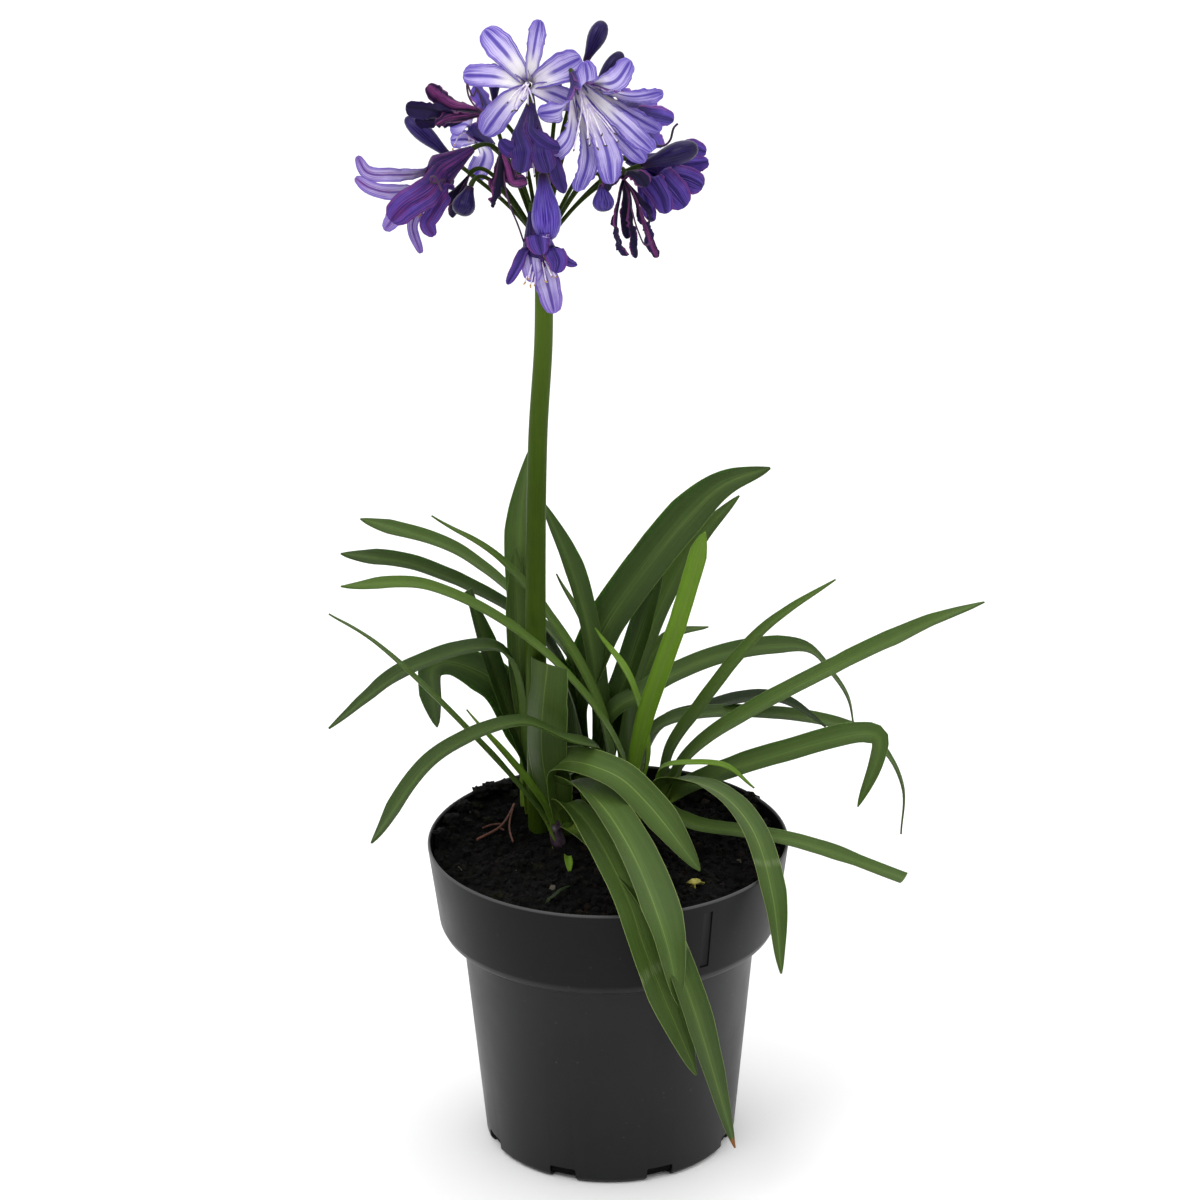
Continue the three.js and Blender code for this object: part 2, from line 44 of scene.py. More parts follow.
view = {"place": (-0.0031, -1.972, 1.095), "pitch": 0.377, "roll": -0.0097, "lens": 120.0, "sensor": 36.0,
        "farthest": 60.0}
studio = {"floorRadius": 9.0, "floorSides": 64, "floorColour": (0.93, 0.93, 0.93, 1.0),
          "brightSide": (0.0, 0.5, 0.87), "sky": (-0.75, 0.65, 0.1, 1.25), "aim": (0.0, 0.0, 0.32)}
softboxes = {  # place, size and power of each light
    "key": ((-1.0, -1.3, 2.3), 1.0, 16.0),
    "fill": ((1.5, -1.2, 1.3), 1.0, 5.0),
    "top": ((0.2, 0.6, 2.3), 1.2, 8.0),
}


def addObject(name, data):
    thing = bpy.data.objects.new(name, data)
    bpy.context.scene.collection.objects.link(thing)
    return thing


def placeCamera():
    data = bpy.data.cameras.new("mainView")
    data.lens = view["lens"]
    data.sensor_width = view["sensor"]
    data.clip_end = view["farthest"]
    pitch, roll = view["pitch"], view["roll"]
    flat = Vector((1, 0, 0))
    above = Vector((0, math.sin(pitch), math.cos(pitch)))
    ahead = Vector((0, math.cos(pitch), -math.sin(pitch)))
    right = flat * math.cos(roll) + above * math.sin(roll)
    top = above * math.cos(roll) - flat * math.sin(roll)
    turn = Matrix((right, top, -ahead)).transposed().to_4x4()
    camera = addObject("mainView", data)
    camera.matrix_world = Matrix.Translation(view["place"]) @ turn
    bpy.context.scene.camera = camera


def placeLights():
    world = bpy.data.worlds.new("studioSky")
    world.use_nodes = True
    tree = world.node_tree
    ray = make(tree, "ShaderNodeTexCoord", out="Generated")
    facing = make(tree, "ShaderNodeVectorMath", {0: ray, 1: studio["brightSide"]}, out="Value",
                  operation="DOT_PRODUCT")
    sky = tree.nodes["Background"]
    feed(sky.inputs["Strength"], between(facing, *studio["sky"]))
    feed(sky.inputs["Color"], (1.0, 1.0, 1.0, 1.0))
    bpy.context.scene.world = world
    bpy.context.scene.view_settings.view_transform = "Standard"
    for name, (place, size, power) in softboxes.items():
        data = bpy.data.lights.new(name, "AREA")
        data.shape = "DISK"
        data.size = size
        data.energy = power
        lamp = addObject(name, data)
        lamp.location = place
        lamp.rotation_euler = (Vector(studio["aim"]) - Vector(place)).to_track_quat("-Z", "Y").to_euler()


# a node's output that can stand in plain arithmetic
class Wire:
    def __init__(self, socket):
        self.socket = socket

    def __add__(self, other):
        return calc("ADD", self, other)

    def __sub__(self, other):
        return calc("SUBTRACT", self, other)

    def __rsub__(self, other):
        return calc("SUBTRACT", other, self)

    def __mul__(self, other):
        return calc("MULTIPLY", self, other)

    def __truediv__(self, other):
        return calc("DIVIDE", self, other)

    def __abs__(self):
        return calc("ABSOLUTE", self)

    __radd__, __rmul__ = __add__, __mul__


def treeOf(*values):
    return next(value.socket.id_data for value in values if isinstance(value, Wire))


def feed(socket, value):
    if isinstance(value, Wire):
        socket.id_data.links.new(value.socket, socket)
    else:
        socket.default_value = value


# a new node with its settings and inputs; one of its outputs comes back
def make(tree, kind, inputs=None, out=0, **settings):
    item = tree.nodes.new(kind)
    for key, value in settings.items():
        setattr(item, key, value)
    for key, value in (inputs or {}).items():
        feed(item.inputs[key], value)
    return Wire(item.outputs[out])


def calc(operation, *values):
    return make(treeOf(*values), "ShaderNodeMath", dict(enumerate(values)), operation=operation)


def addVectors(first, second):
    return make(treeOf(first), "ShaderNodeVectorMath", {0: first, 1: second}, operation="ADD")


def scaleVector(vector, size):
    return make(treeOf(vector), "ShaderNodeVectorMath", {0: vector, "Scale": size}, operation="SCALE")


def combine(x, y, z):
    return make(treeOf(x, y, z), "ShaderNodeCombineXYZ", {0: x, 1: y, 2: z})


def split(vector):
    item = treeOf(vector).nodes.new("ShaderNodeSeparateXYZ")
    feed(item.inputs[0], vector)
    return [Wire(socket) for socket in item.outputs]


# start to end as the value goes from low to high
def between(value, low, high, start=0.0, end=1.0):
    return make(treeOf(value), "ShaderNodeMapRange", dict(enumerate((value, low, high, start, end))),
                interpolation_type="SMOOTHSTEP")


def mix(factor, first, second, kind="MIX"):
    return make(treeOf(factor, first, second), "ShaderNodeMix", {0: factor, 6: first, 7: second}, out=2,
                data_type="RGBA", blend_type=kind)


def noiseOf(place, scale=1.0, detail=3.0, rough=0.5, distortion=0.0):
    return make(treeOf(place), "ShaderNodeTexNoise", {
        "Vector": place, "Scale": scale, "Detail": detail, "Roughness": rough, "Distortion": distortion},
        out="Fac")


# noise drawn out along a blade: lanes across it, then its scale along the run
def streaks(across, run, seed, lanes, length, detail, rough):
    return noiseOf(combine(across * lanes, run * length, seed), 1.0, detail, rough)


# sRGB 0..255 to scene values
def colour(red, green, blue):
    parts = [c / 255.0 for c in (red, green, blue)]
    return (*[c / 12.92 if c <= 0.04045 else ((c + 0.055) / 1.055) ** 2.4 for c in parts], 1.0)


def newMaterial(name):
    material = bpy.data.materials.new(name)
    material.use_nodes = True
    tree = material.node_tree
    return material, tree, tree.nodes["Principled BSDF"]


def attributes(tree, *names):
    return [make(tree, "ShaderNodeAttribute", out="Fac", attribute_name=name) for name in names]


def objectPlace(tree):
    return make(tree, "ShaderNodeTexCoord", out="Object")


# feeds the shader and raises its surface by a height
def coat(shader, inputs, height, distance, strength):
    for key, value in inputs.items():
        feed(shader.inputs[key], value)
    feed(shader.inputs["Normal"], make(treeOf(height), "ShaderNodeBump", {
        "Height": height, "Distance": distance, "Strength": strength}))


def meshPiece(name, points, faces, materials):
    mesh = bpy.data.meshes.new(name)
    mesh.from_pydata([tuple(p) for p in points], [], faces)
    mesh.validate()
    mesh.update()
    for material in materials:
        mesh.materials.append(material)
    mesh.polygons.foreach_set("use_smooth", [True] * len(mesh.polygons))
    return addObject(name, mesh)


def outward(piece):
    work = bmesh.new()
    work.from_mesh(piece.data)
    bmesh.ops.remove_doubles(work, verts=work.verts, dist=1e-7)
    bmesh.ops.recalc_face_normals(work, faces=work.faces)
    work.to_mesh(piece.data)
    work.free()


def setFloats(mesh, name, values):
    item = mesh.attributes.new(name, "FLOAT", "POINT")
    item.data.foreach_set("value", np.asarray(values, dtype=np.float32))


def setVectors(mesh, name, values):
    item = mesh.attributes.new(name, "FLOAT_VECTOR", "POINT")
    item.data.foreach_set("vector", np.asarray(values, dtype=np.float32).ravel())


def finishPiece(piece, slotName, *nodes):
    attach(piece, "root")
    if nodes:
        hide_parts(*nodes)


def asVector(values):
    return np.array(values, dtype=float)


def unit(vector):
    vector = asVector(vector)
    return vector / np.linalg.norm(vector)


# the turn that takes +Z to a direction
def turnTo(direction):
    return np.array(Vector((0, 0, 1)).rotation_difference(Vector(direction)).to_matrix())


# rings of (radius, height) pairs turned about Z, closed at the axis ends
def lathe(profile, sides, lobes=0, lobeDepth=0.0):
    points, rings = [], []
    for radius, height in profile:
        if radius < 1e-9:
            rings.append([len(points)] * sides)
            points.append((0.0, 0.0, height))
            continue
        ring = []
        for k in range(sides):
            angle = 2 * math.pi * k / sides
            r = radius * (1 + lobeDepth * math.cos(lobes * angle))
            ring.append(len(points))
            points.append((r * math.cos(angle), r * math.sin(angle), height))
        rings.append(ring)
    faces = []
    for low, high in zip(rings, rings[1:]):
        for k in range(sides):
            j = (k + 1) % sides
            corners = [low[k], low[j], high[j], high[k]]
            loop = [c for i, c in enumerate(corners) if c != corners[i - 1]]
            if len(loop) > 2:
                faces.append(loop)
    return points, faces


# centripetal Catmull-Rom through points in mm, then evenly spaced; the run along it comes back too
def smoothLine(points, step, least=8):
    points = np.asarray(points, dtype=float) * mm
    ends = np.vstack([2 * points[0] - points[1], points, 2 * points[-1] - points[-2]])
    fine = []
    for i in range(len(points) - 1):
        p0, p1, p2, p3 = ends[i:i + 4]
        d0, d1, d2 = [max(np.linalg.norm(b - a), 1e-8) ** 0.5 for a, b in ((p0, p1), (p1, p2), (p2, p3))]
        t1 = ((p1 - p0) / d0 - (p2 - p0) / (d0 + d1) + (p2 - p1) / d1) * d1
        t2 = ((p2 - p1) / d1 - (p3 - p1) / (d1 + d2) + (p3 - p2) / d2) * d1
        t = np.linspace(0, 1, 33)[:, None]
        if i < len(points) - 2:
            t = t[:-1]
        fine.append(p1 + t1 * t + (3 * (p2 - p1) - 2 * t1 - t2) * t ** 2 + (2 * (p1 - p2) + t1 + t2) * t ** 3)
    fine = np.vstack(fine)
    run = np.concatenate([[0], np.cumsum(np.linalg.norm(np.diff(fine, axis=0), axis=1))])
    count = max(least, int(math.ceil(run[-1] / (step * mm))) + 1)
    at = np.linspace(0, run[-1], count)
    return np.column_stack([np.interp(at, run, fine[:, k]) for k in range(3)]), at


# one mesh of open polylines, with its values on the points
def chain(name, lines, floats, vectors):
    points, edges = [], []
    for line in lines:
        start = len(points)
        points.extend(tuple(p) for p in line)
        edges.extend((start + i, start + i + 1) for i in range(len(line) - 1))
    mesh = bpy.data.meshes.new(name)
    mesh.from_pydata(points, edges, [])
    for key, values in floats.items():
        setFloats(mesh, key, np.concatenate(values))
    for key, values in vectors.items():
        setVectors(mesh, key, np.vstack(values))
    return addObject(name, mesh)


# a tree with named inputs, kept by name, and its output socket
def newTree(name, inputs):
    tree = bpy.data.node_groups.new(name, "GeometryNodeTree")
    tree.interface.new_socket("Geometry", in_out="INPUT", socket_type="NodeSocketGeometry")
    for label, (kind, value) in inputs.items():
        socket = tree.interface.new_socket(label, in_out="INPUT", socket_type="NodeSocket" + kind)
        if value is not None:
            socket.default_value = value
    tree.interface.new_socket("Geometry", in_out="OUTPUT", socket_type="NodeSocketGeometry")
    given = tree.nodes.new("NodeGroupInput")
    wires = {label: Wire(given.outputs[label]) for label in ("Geometry", *inputs)}
    return tree, wires, tree.nodes.new("NodeGroupOutput").inputs[0]


# runs the tree on the source and keeps the result as a plain mesh
def grow(name, source, tree, values):
    modifier = source.modifiers.new(tree.name, "NODES")
    modifier.node_group = tree
    for item in tree.interface.items_tree:
        if item.item_type == "SOCKET" and item.in_out == "INPUT" and item.name in values:
            modifier[item.identifier] = values[item.name]
    depsgraph = bpy.context.evaluated_depsgraph_get()
    mesh = bpy.data.meshes.new_from_object(source.evaluated_get(depsgraph), depsgraph=depsgraph)
    source.modifiers.remove(modifier)
    bpy.data.objects.remove(source)
    mesh.name = name
    return addObject(name, mesh)


def joinPieces(name, pieces):
    mesh = bpy.data.meshes.new(name)
    work = bmesh.new()
    materials = []
    for piece in pieces:
        start = len(work.faces)
        shift = {}
        for index, material in enumerate(piece.data.materials):
            if material not in materials:
                materials.append(material)
            shift[index] = materials.index(material)
        work.from_mesh(piece.data)
        work.faces.ensure_lookup_table()
        for face in work.faces[start:]:
            face.material_index = shift.get(face.material_index, 0)
    work.to_mesh(mesh)
    work.free()
    for material in materials:
        mesh.materials.append(material)
    for piece in pieces:
        bpy.data.objects.remove(piece)
    return addObject(name, mesh)


def named(tree, name, kind="FLOAT"):
    return make(tree, "GeometryNodeInputNamedAttribute", {"Name": name}, data_type=kind)


def dress(tree, geometry, material):
    real = make(tree, "GeometryNodeRealizeInstances", {"Geometry": geometry})
    return make(tree, "GeometryNodeSetMaterial", {"Geometry": real, "Material": material})


def smoothed(tree, geometry):
    return make(tree, "GeometryNodeSetShadeSmooth", {"Geometry": geometry, "Shade Smooth": True})


# a thin closed blade along each line: a lens section, channelled by bend and creased by vee
def bladeTree():
    tree, given, result = newTree("bladeOnLine", {
        "Sides": ("Int", 24), "Thickness": ("Float", 0.0006), "Ruffle": ("Float", 0.0),
        "Waves": ("Float", 60.0), "Drift": ("Float", 9.0), "Skew": ("Float", 3.1), "Edge": ("Float", 2.5),
        "Material": ("Material", None)})
    rails = make(tree, "GeometryNodeMeshToCurve", {"Mesh": given["Geometry"]})
    section = make(tree, "GeometryNodeMeshCircle", {"Vertices": given["Sides"], "Radius": 1.0})
    x, y, _ = split(make(tree, "GeometryNodeInputPosition"))
    for name, value in (("across", x), ("rise", y)):
        section = make(tree, "GeometryNodeStoreNamedAttribute", {"Geometry": section, "Name": name,
                                                                 "Value": value})
    swept = make(tree, "GeometryNodeCurveToMesh", {
        "Curve": rails, "Profile Curve": make(tree, "GeometryNodeMeshToCurve", {"Mesh": section}),
        "Fill Caps": True})
    across, half, bend = named(tree, "across"), named(tree, "half"), named(tree, "bend")
    centre, side, top = [named(tree, name, "FLOAT_VECTOR") for name in ("centre", "side", "upper")]
    angle = across * bend
    sine, cosine = calc("SINE", angle), calc("COSINE", angle)
    lift = half * ((1.0 - cosine) / bend + named(tree, "vee") * abs(across))
    drift = noiseOf(scaleVector(centre, given["Waves"]), detail=1.0) * given["Drift"]
    wave = calc("SINE", named(tree, "run") * given["Waves"] + (drift + across * given["Skew"]))
    edge = calc("POWER", abs(across), given["Edge"])
    ruffle = wave * edge * (given["Ruffle"] * named(tree, "frill"))
    deep = named(tree, "rise") * (0.5 * given["Thickness"])
    wide = half * sine / bend - deep * sine
    high = lift + ruffle + deep * cosine
    point = addVectors(centre, addVectors(scaleVector(side, wide), scaleVector(top, high)))
    shaped = make(tree, "GeometryNodeSetPosition", {"Geometry": swept, "Position": point})
    feed(result, dress(tree, smoothed(tree, shaped), given["Material"]))
    return tree


# a round thread along each line, with a pollen sac on the ends that ask for one
def threadTree():
    tree, given, result = newTree("threadOnLine", {
        "Sides": ("Int", 8), "Sac length": ("Float", 0.0024), "Sac width": ("Float", 0.0009),
        "Material": ("Material", None), "Sac material": ("Material", None)})
    rails = make(tree, "GeometryNodeMeshToCurve", {"Mesh": given["Geometry"]})
    ring = make(tree, "GeometryNodeCurvePrimitiveCircle", {"Resolution": given["Sides"], "Radius": 1.0})
    swept = make(tree, "GeometryNodeCurveToMesh", {"Curve": rails, "Profile Curve": ring, "Fill Caps": True,
                                                   "Scale": named(tree, "half")})
    ends = make(tree, "GeometryNodeCurveEndpointSelection", {"Start Size": 0, "End Size": 1})
    asked = calc("GREATER_THAN", named(tree, "sac"), 0.5)
    wanted = make(tree, "FunctionNodeBooleanMath", {0: ends, 1: asked}, operation="AND")
    sacs = make(tree, "GeometryNodeInstanceOnPoints", {
        "Points": rails, "Selection": wanted,
        "Instance": make(tree, "GeometryNodeMeshUVSphere", {"Segments": 8, "Rings": 6, "Radius": 0.5}),
        "Rotation": make(tree, "FunctionNodeAlignRotationToVector", {
            "Vector": named(tree, "sacAim", "FLOAT_VECTOR")}, axis="Z"),
        "Scale": combine(given["Sac width"], given["Sac width"], given["Sac length"])})
    whole = tree.nodes.new("GeometryNodeJoinGeometry")
    for part, material in ((swept, "Material"), (sacs, "Sac material")):
        feed(whole.inputs[0], dress(tree, smoothed(tree, part), given[material]))
    feed(result, Wire(whole.outputs[0]))
    return tree


# rough grains scattered over a surface
def litterTree():
    tree, given, result = newTree("grainsOnSurface", {
        "Density": ("Float", 20000.0), "Smallest": ("Float", 0.0005), "Largest": ("Float", 0.003),
        "Length": ("Float", 1.0), "Rough": ("Float", 0.9), "Lumps": ("Float", 2.3), "Rare": ("Float", 4.0),
        "Seed": ("Int", 1), "Material": ("Material", None)})
    seed = given["Seed"]
    points = make(tree, "GeometryNodeDistributePointsOnFaces", {
        "Mesh": given["Geometry"], "Density": given["Density"], "Seed": seed,
        "Selection": calc("GREATER_THAN", named(tree, "bare"), 0.5)})
    grain = make(tree, "GeometryNodeMeshIcoSphere", {"Radius": 0.5, "Subdivisions": 1})
    lumps = make(tree, "ShaderNodeTexNoise", {"Scale": given["Lumps"]}, out="Color")
    push = make(tree, "ShaderNodeVectorMath", {0: lumps, 1: (0.5, 0.5, 0.5)}, operation="SUBTRACT")
    turn = make(tree, "FunctionNodeRandomValue", {"Max": (6.28, 6.28, 6.28), "Seed": seed},
                data_type="FLOAT_VECTOR")
    pick = make(tree, "FunctionNodeRandomValue", {"Seed": seed + 7}, out=1, data_type="FLOAT")
    size = given["Smallest"] + (given["Largest"] - given["Smallest"]) * calc("POWER", pick, given["Rare"])
    grains = make(tree, "GeometryNodeInstanceOnPoints", {
        "Points": points, "Rotation": turn, "Scale": combine(size, size, size * given["Length"]),
        "Instance": make(tree, "GeometryNodeSetPosition", {"Geometry": grain,
                                                           "Offset": scaleVector(push, given["Rough"])})})
    tint = make(tree, "FunctionNodeRandomValue", {"Seed": seed + 3}, out=1, data_type="FLOAT")
    grains = make(tree, "GeometryNodeStoreNamedAttribute", {"Geometry": grains, "Name": "tint",
                                                            "Value": tint}, domain="INSTANCE")
    feed(result, dress(tree, grains, given["Material"]))
    return tree


blades, threads, litter = bladeTree(), threadTree(), litterTree()


# ranges: the value where a tone starts and where it is full, then its weight at both
leafLook = {
    "paintedShade": colour(20, 34, 9), "deep": colour(32, 50, 16), "mid": colour(66, 88, 34),
    "fresh": colour(108, 144, 36), "foot": colour(136, 160, 58), "under": colour(84, 110, 42),
    "margin": colour(170, 186, 108), "burnt": colour(126, 78, 32), "middleHighlight": colour(96, 122, 58),
    "midline": colour(136, 158, 78), "scar": colour(136, 150, 108), "streakTint": (0.45, 0.5, 0.4, 1.0),
    "cloudTint": (1.5, 1.42, 1.35, 1.0), "edgeShadeTint": (0.42, 0.5, 0.36, 1.0),
    "veins": (15.0, 14.0, 4.0, 0.6), "fineVeins": (46.0, 30.0, 2.0, 0.5), "clouds": 26.0, "wander": 0.03,
    "ranges": {
        "mid": (0.0, 0.5), "fresh": (0.5, 1.0), "paintedShade": (0.1, 0.0), "foot": (0.16, 0.0),
        "under": (0.0, -0.15, 0.0, 0.45), "streak": (0.3, 0.75, 0.0, 0.35), "cloud": (0.35, 0.7, 0.0, 0.3),
        "middleHighlight": (0.55, 0.1, 0.0, 0.4), "middleHighlightFresh": (0.0, 0.3), "middleHighlightStreak": (0.35, 0.6),
        "edge": (0.6, 0.98, 0.0, 0.45), "midline": (0.045, 0.01, 0.0, 0.85),
        "midlineStreak": (0.3, 0.55, 0.4, 1.0), "scar": (0.016, 0.003), "scarStreak": (0.36, 0.6, 0.02, 0.32),
        "margin": (0.965, 0.99), "burn": (-0.004, 0.006), "roughness": (0.2, 0.8, 0.4, 0.6)},
    "shader": {"Specular IOR Level": 0.24, "IOR": 1.4, "Subsurface Weight": 0.12, "Subsurface Scale": 1.0,
               "Subsurface Radius": (0.0016, 0.0026, 0.0008)},
    "bump": (0.00035, 0.8),
}


def leafMaterial():
    material, tree, shader = newMaterial("leafGreen")
    look, ranges = leafLook, leafLook["ranges"]
    along, across, run, rise, fresh, margin, scar, burn = attributes(
        tree, "along", "across", "run", "rise", "fresh", "margin", "scar", "burn")
    size = abs(across)
    streak = streaks(across, run, fresh, *look["veins"])
    fine = streaks(across, run, fresh, *look["fineVeins"])
    cloud = noiseOf(objectPlace(tree), look["clouds"], 4.0, 0.6)
    body = mix(between(fresh, *ranges["mid"]), look["deep"], look["mid"])
    body = mix(between(fresh, *ranges["fresh"]), body, look["fresh"])
    # painted shade: leaves whose fresh is below 0.1 are darkened to a shade green
    body = mix(between(fresh, *ranges["paintedShade"]), body, look["paintedShade"])
    body = mix(between(along, *ranges["foot"]), body, look["foot"])
    body = mix(between(rise, *ranges["under"]), body, look["under"])
    body = mix(between(streak, *ranges["streak"]), body, look["streakTint"], "MULTIPLY")
    body = mix(between(cloud, *ranges["cloud"]), body, look["cloudTint"], "MULTIPLY")
    # painted highlight: a paler band down the middle of the blade, broken by the vein streaks and weaker on
    # the darker leaves
    middleHighlightMask = between(size, *ranges["middleHighlight"]) * between(fresh, *ranges["middleHighlightFresh"])
    body = mix(middleHighlightMask * between(streak, *ranges["middleHighlightStreak"]), body, look["middleHighlight"])
    # painted shade: the blade darkens towards its margins
    body = mix(between(size, *ranges["edge"]), body, look["edgeShadeTint"], "MULTIPLY")
    line = between(size, *ranges["midline"]) * (margin * between(streak, *ranges["midlineStreak"]))
    body = mix(line, body, look["midline"])
    hurt = abs(along + (fine - 0.5) * look["wander"] - scar)
    body = mix(between(hurt, *ranges["scar"]) * between(streak, *ranges["scarStreak"]), body, look["scar"])
    body = mix(between(size, *ranges["margin"]) * margin, body, look["margin"])
    burnt = along + (cloud - 0.5) * look["wander"] - burn
    body = mix(between(burnt, *ranges["burn"]), body, look["burnt"])
    coat(shader, {"Base Color": body, "Roughness": between(cloud, *ranges["roughness"]), **look["shader"]},
         streak + fine * 0.5, *look["bump"])
    return material


tepalLooks = {
    "open": {"pale": colour(204, 194, 240), "tip": colour(94, 72, 172), "throat": colour(244, 240, 244),
             "stripe": colour(74, 52, 158), "back": colour(96, 76, 170), "backStripe": colour(34, 24, 80),
             "shade": colour(40, 26, 78), "blush": colour(150, 80, 150), "roughness": 0.55, "specular": 0.25,
             "glow": 0.25},
    "closed": {"pale": colour(200, 190, 234), "tip": colour(122, 94, 186), "throat": colour(222, 214, 236),
               "stripe": colour(80, 54, 146), "back": colour(86, 64, 154), "backStripe": colour(34, 22, 84),
               "shade": colour(32, 20, 62), "blush": colour(118, 48, 112), "roughness": 0.46,
               "specular": 0.12, "glow": 0.06},
    "faded": {"pale": colour(40, 28, 68), "tip": colour(34, 24, 62), "throat": colour(34, 20, 50),
              "stripe": colour(22, 16, 46), "back": colour(30, 22, 60), "backStripe": colour(15, 11, 34),
              "shade": colour(17, 12, 34), "blush": colour(136, 62, 124), "roughness": 0.46, "specular": 0.12,
              "glow": 0.06},
}
tepalRanges = {
    "throat": (0.4, 0.68), "tip": (0.6, 1.1), "edge": (0.5, 0.96), "stripe": (-0.09, 0.06, 0.0, 0.85),
    "reachFrom": (0.42, 0.6), "reachTo": (1.0, 0.95), "vein": (0.52, 0.75, 0.0, 0.3), "back": (0.3, 0.85),
    "backMiddle": (0.36, 0.06, 0.0, 0.85), "backVein": (0.36, 0.5, 0.85, 0.0),
    "backTip": (0.54, 0.7, 0.0, 0.65), "backEdge": (0.7, 1.0, 0.0, 0.75), "rear": (0.02, -0.1),
    "deep": (0.42, 0.62), "blushEdge": (0.3, 0.75), "blush": (0.28, 0.6), "cloud": (0.42, 0.7, 0.0, 0.5),
}
tepalSkin = {
    "grain": (9.0, 90.0, 3.0, 0.6), "veins": (22.0, 40.0, 2.0, 0.5), "drift": 1.1, "stripe": 0.13,
    "stripeWander": 0.12, "deep": 0.85, "clouds": 70.0, "cloudTint": (0.62, 0.56, 0.78, 1.0),
    "bump": (0.0003, 0.6), "shader": {"Subsurface Radius": (0.0016, 0.0014, 0.0026), "Subsurface Scale": 1.0},
}


def tepalMaterial(name):
    material, tree, shader = newMaterial(name + "Tepal")
    look, ranges, skin = tepalLooks[name], tepalRanges, tepalSkin
    along, across, run, rise, fresh, deep, flush = attributes(
        tree, "along", "across", "run", "rise", "fresh", "deep", "blush")
    size = abs(across)
    grain = streaks(across, run, fresh, *skin["grain"])
    vein = streaks(across, run, fresh, *skin["veins"])
    drift = (vein - 0.5) * skin["drift"]
    face = mix(between(along, *ranges["throat"]), look["throat"], look["pale"])
    face = mix(between(along + drift, *ranges["tip"]), face, look["tip"])
    face = mix(between(size + drift, *ranges["edge"]), face, look["tip"])
    stripe = between(skin["stripe"] + (grain - 0.5) * skin["stripeWander"] - size, *ranges["stripe"])
    reach = between(along, *ranges["reachFrom"]) * between(along, *ranges["reachTo"])
    face = mix(stripe * reach, face, look["stripe"])
    face = mix(between(vein, *ranges["vein"]), face, look["stripe"])
    rear = mix(between(along, *ranges["back"]), look["shade"], look["back"])
    rear = mix(between(size, *ranges["backMiddle"]), rear, look["backStripe"])
    rear = mix(between(vein, *ranges["backVein"]), rear, look["backStripe"])
    rear = mix(between(vein, *ranges["backTip"]), rear, look["tip"])
    rear = mix(between(size + drift, *ranges["backEdge"]), rear, look["blush"])
    body = mix(between(rise, *ranges["rear"]), face, rear)
    dusk = mix(between(vein, *ranges["deep"]), look["shade"], look["backStripe"])
    body = mix(deep * skin["deep"], body, dusk)
    blush = between(1.0 - size, *ranges["blushEdge"]) * between(grain * flush, *ranges["blush"])
    body = mix(blush, body, look["blush"])
    cloud = noiseOf(objectPlace(tree), skin["clouds"], 3.0, 0.6)
    body = mix(between(cloud, *ranges["cloud"]), body, skin["cloudTint"], "MULTIPLY")
    coat(shader, {"Base Color": body, "Roughness": look["roughness"], "Specular IOR Level": look["specular"],
                  "Subsurface Weight": look["glow"], **skin["shader"]}, vein + grain, *skin["bump"])
    return material


stemLook = {
    "old": colour(36, 46, 14), "young": colour(54, 76, 10), "oldTop": colour(30, 24, 28),
    "youngTop": colour(96, 124, 38), "cloudTint": (1.4, 1.4, 1.3, 1.0), "streakTint": (0.6, 0.62, 0.6, 1.0),
    "clouds": 60.0, "streakAcross": 1500.0, "streakAlong": 14.0, "top": (0.6, 1.0, 0.0, 0.55),
    "cloud": (0.35, 0.7, 0.0, 0.35), "streak": (0.4, 0.7, 0.0, 0.3), "bump": (0.0002, 0.6),
    "shader": {"Roughness": 0.45, "Specular IOR Level": 0.14, "IOR": 1.3, "Subsurface Weight": 0.05,
               "Subsurface Radius": (0.001, 0.002, 0.0006), "Subsurface Scale": 1.0},
}


def stemMaterial():
    material, tree, shader = newMaterial("stemGreen")
    look = stemLook
    along, young = attributes(tree, "along", "fresh")
    place = objectPlace(tree)
    x, y, z = split(place)
    cloud = noiseOf(place, look["clouds"], 4.0, 0.6)
    wide = look["streakAcross"]
    streak = noiseOf(combine(x * wide, y * wide, z * look["streakAlong"]), detail=2.0)
    body = mix(young, look["old"], look["young"])
    body = mix(between(along, *look["top"]), body, mix(young, look["oldTop"], look["youngTop"]))
    body = mix(between(cloud, *look["cloud"]), body, look["cloudTint"], "MULTIPLY")
    body = mix(between(streak, *look["streak"]), body, look["streakTint"], "MULTIPLY")
    coat(shader, {"Base Color": body, **look["shader"]}, streak, *look["bump"])
    return material


potLook = {
    "dark": colour(14, 14, 15), "light": colour(21, 21, 22), "scuff": colour(44, 44, 44),
    "dust": colour(74, 72, 68), "lip": colour(78, 78, 78), "collarTint": (0.5, 0.5, 0.52, 1.0),
    "scuffScale": (40.0, 40.0, 260.0), "clouds": (14.0, 5.0, 0.62, 0.4), "body": (0.3, 0.7),
    "scuffs": (0.62, 0.8, 0.0, 0.15), "specks": (0.7, 0.78, 0.0, 0.25), "collar": (0.127, 0.132),
    "lipEdge": (0.1744, 0.1752, 0.0, 0.8), "roughness": (0.25, 0.75, 0.34, 0.46), "specular": 0.22,
    "collarDull": 0.08, "bump": (0.00006, 0.7),
}


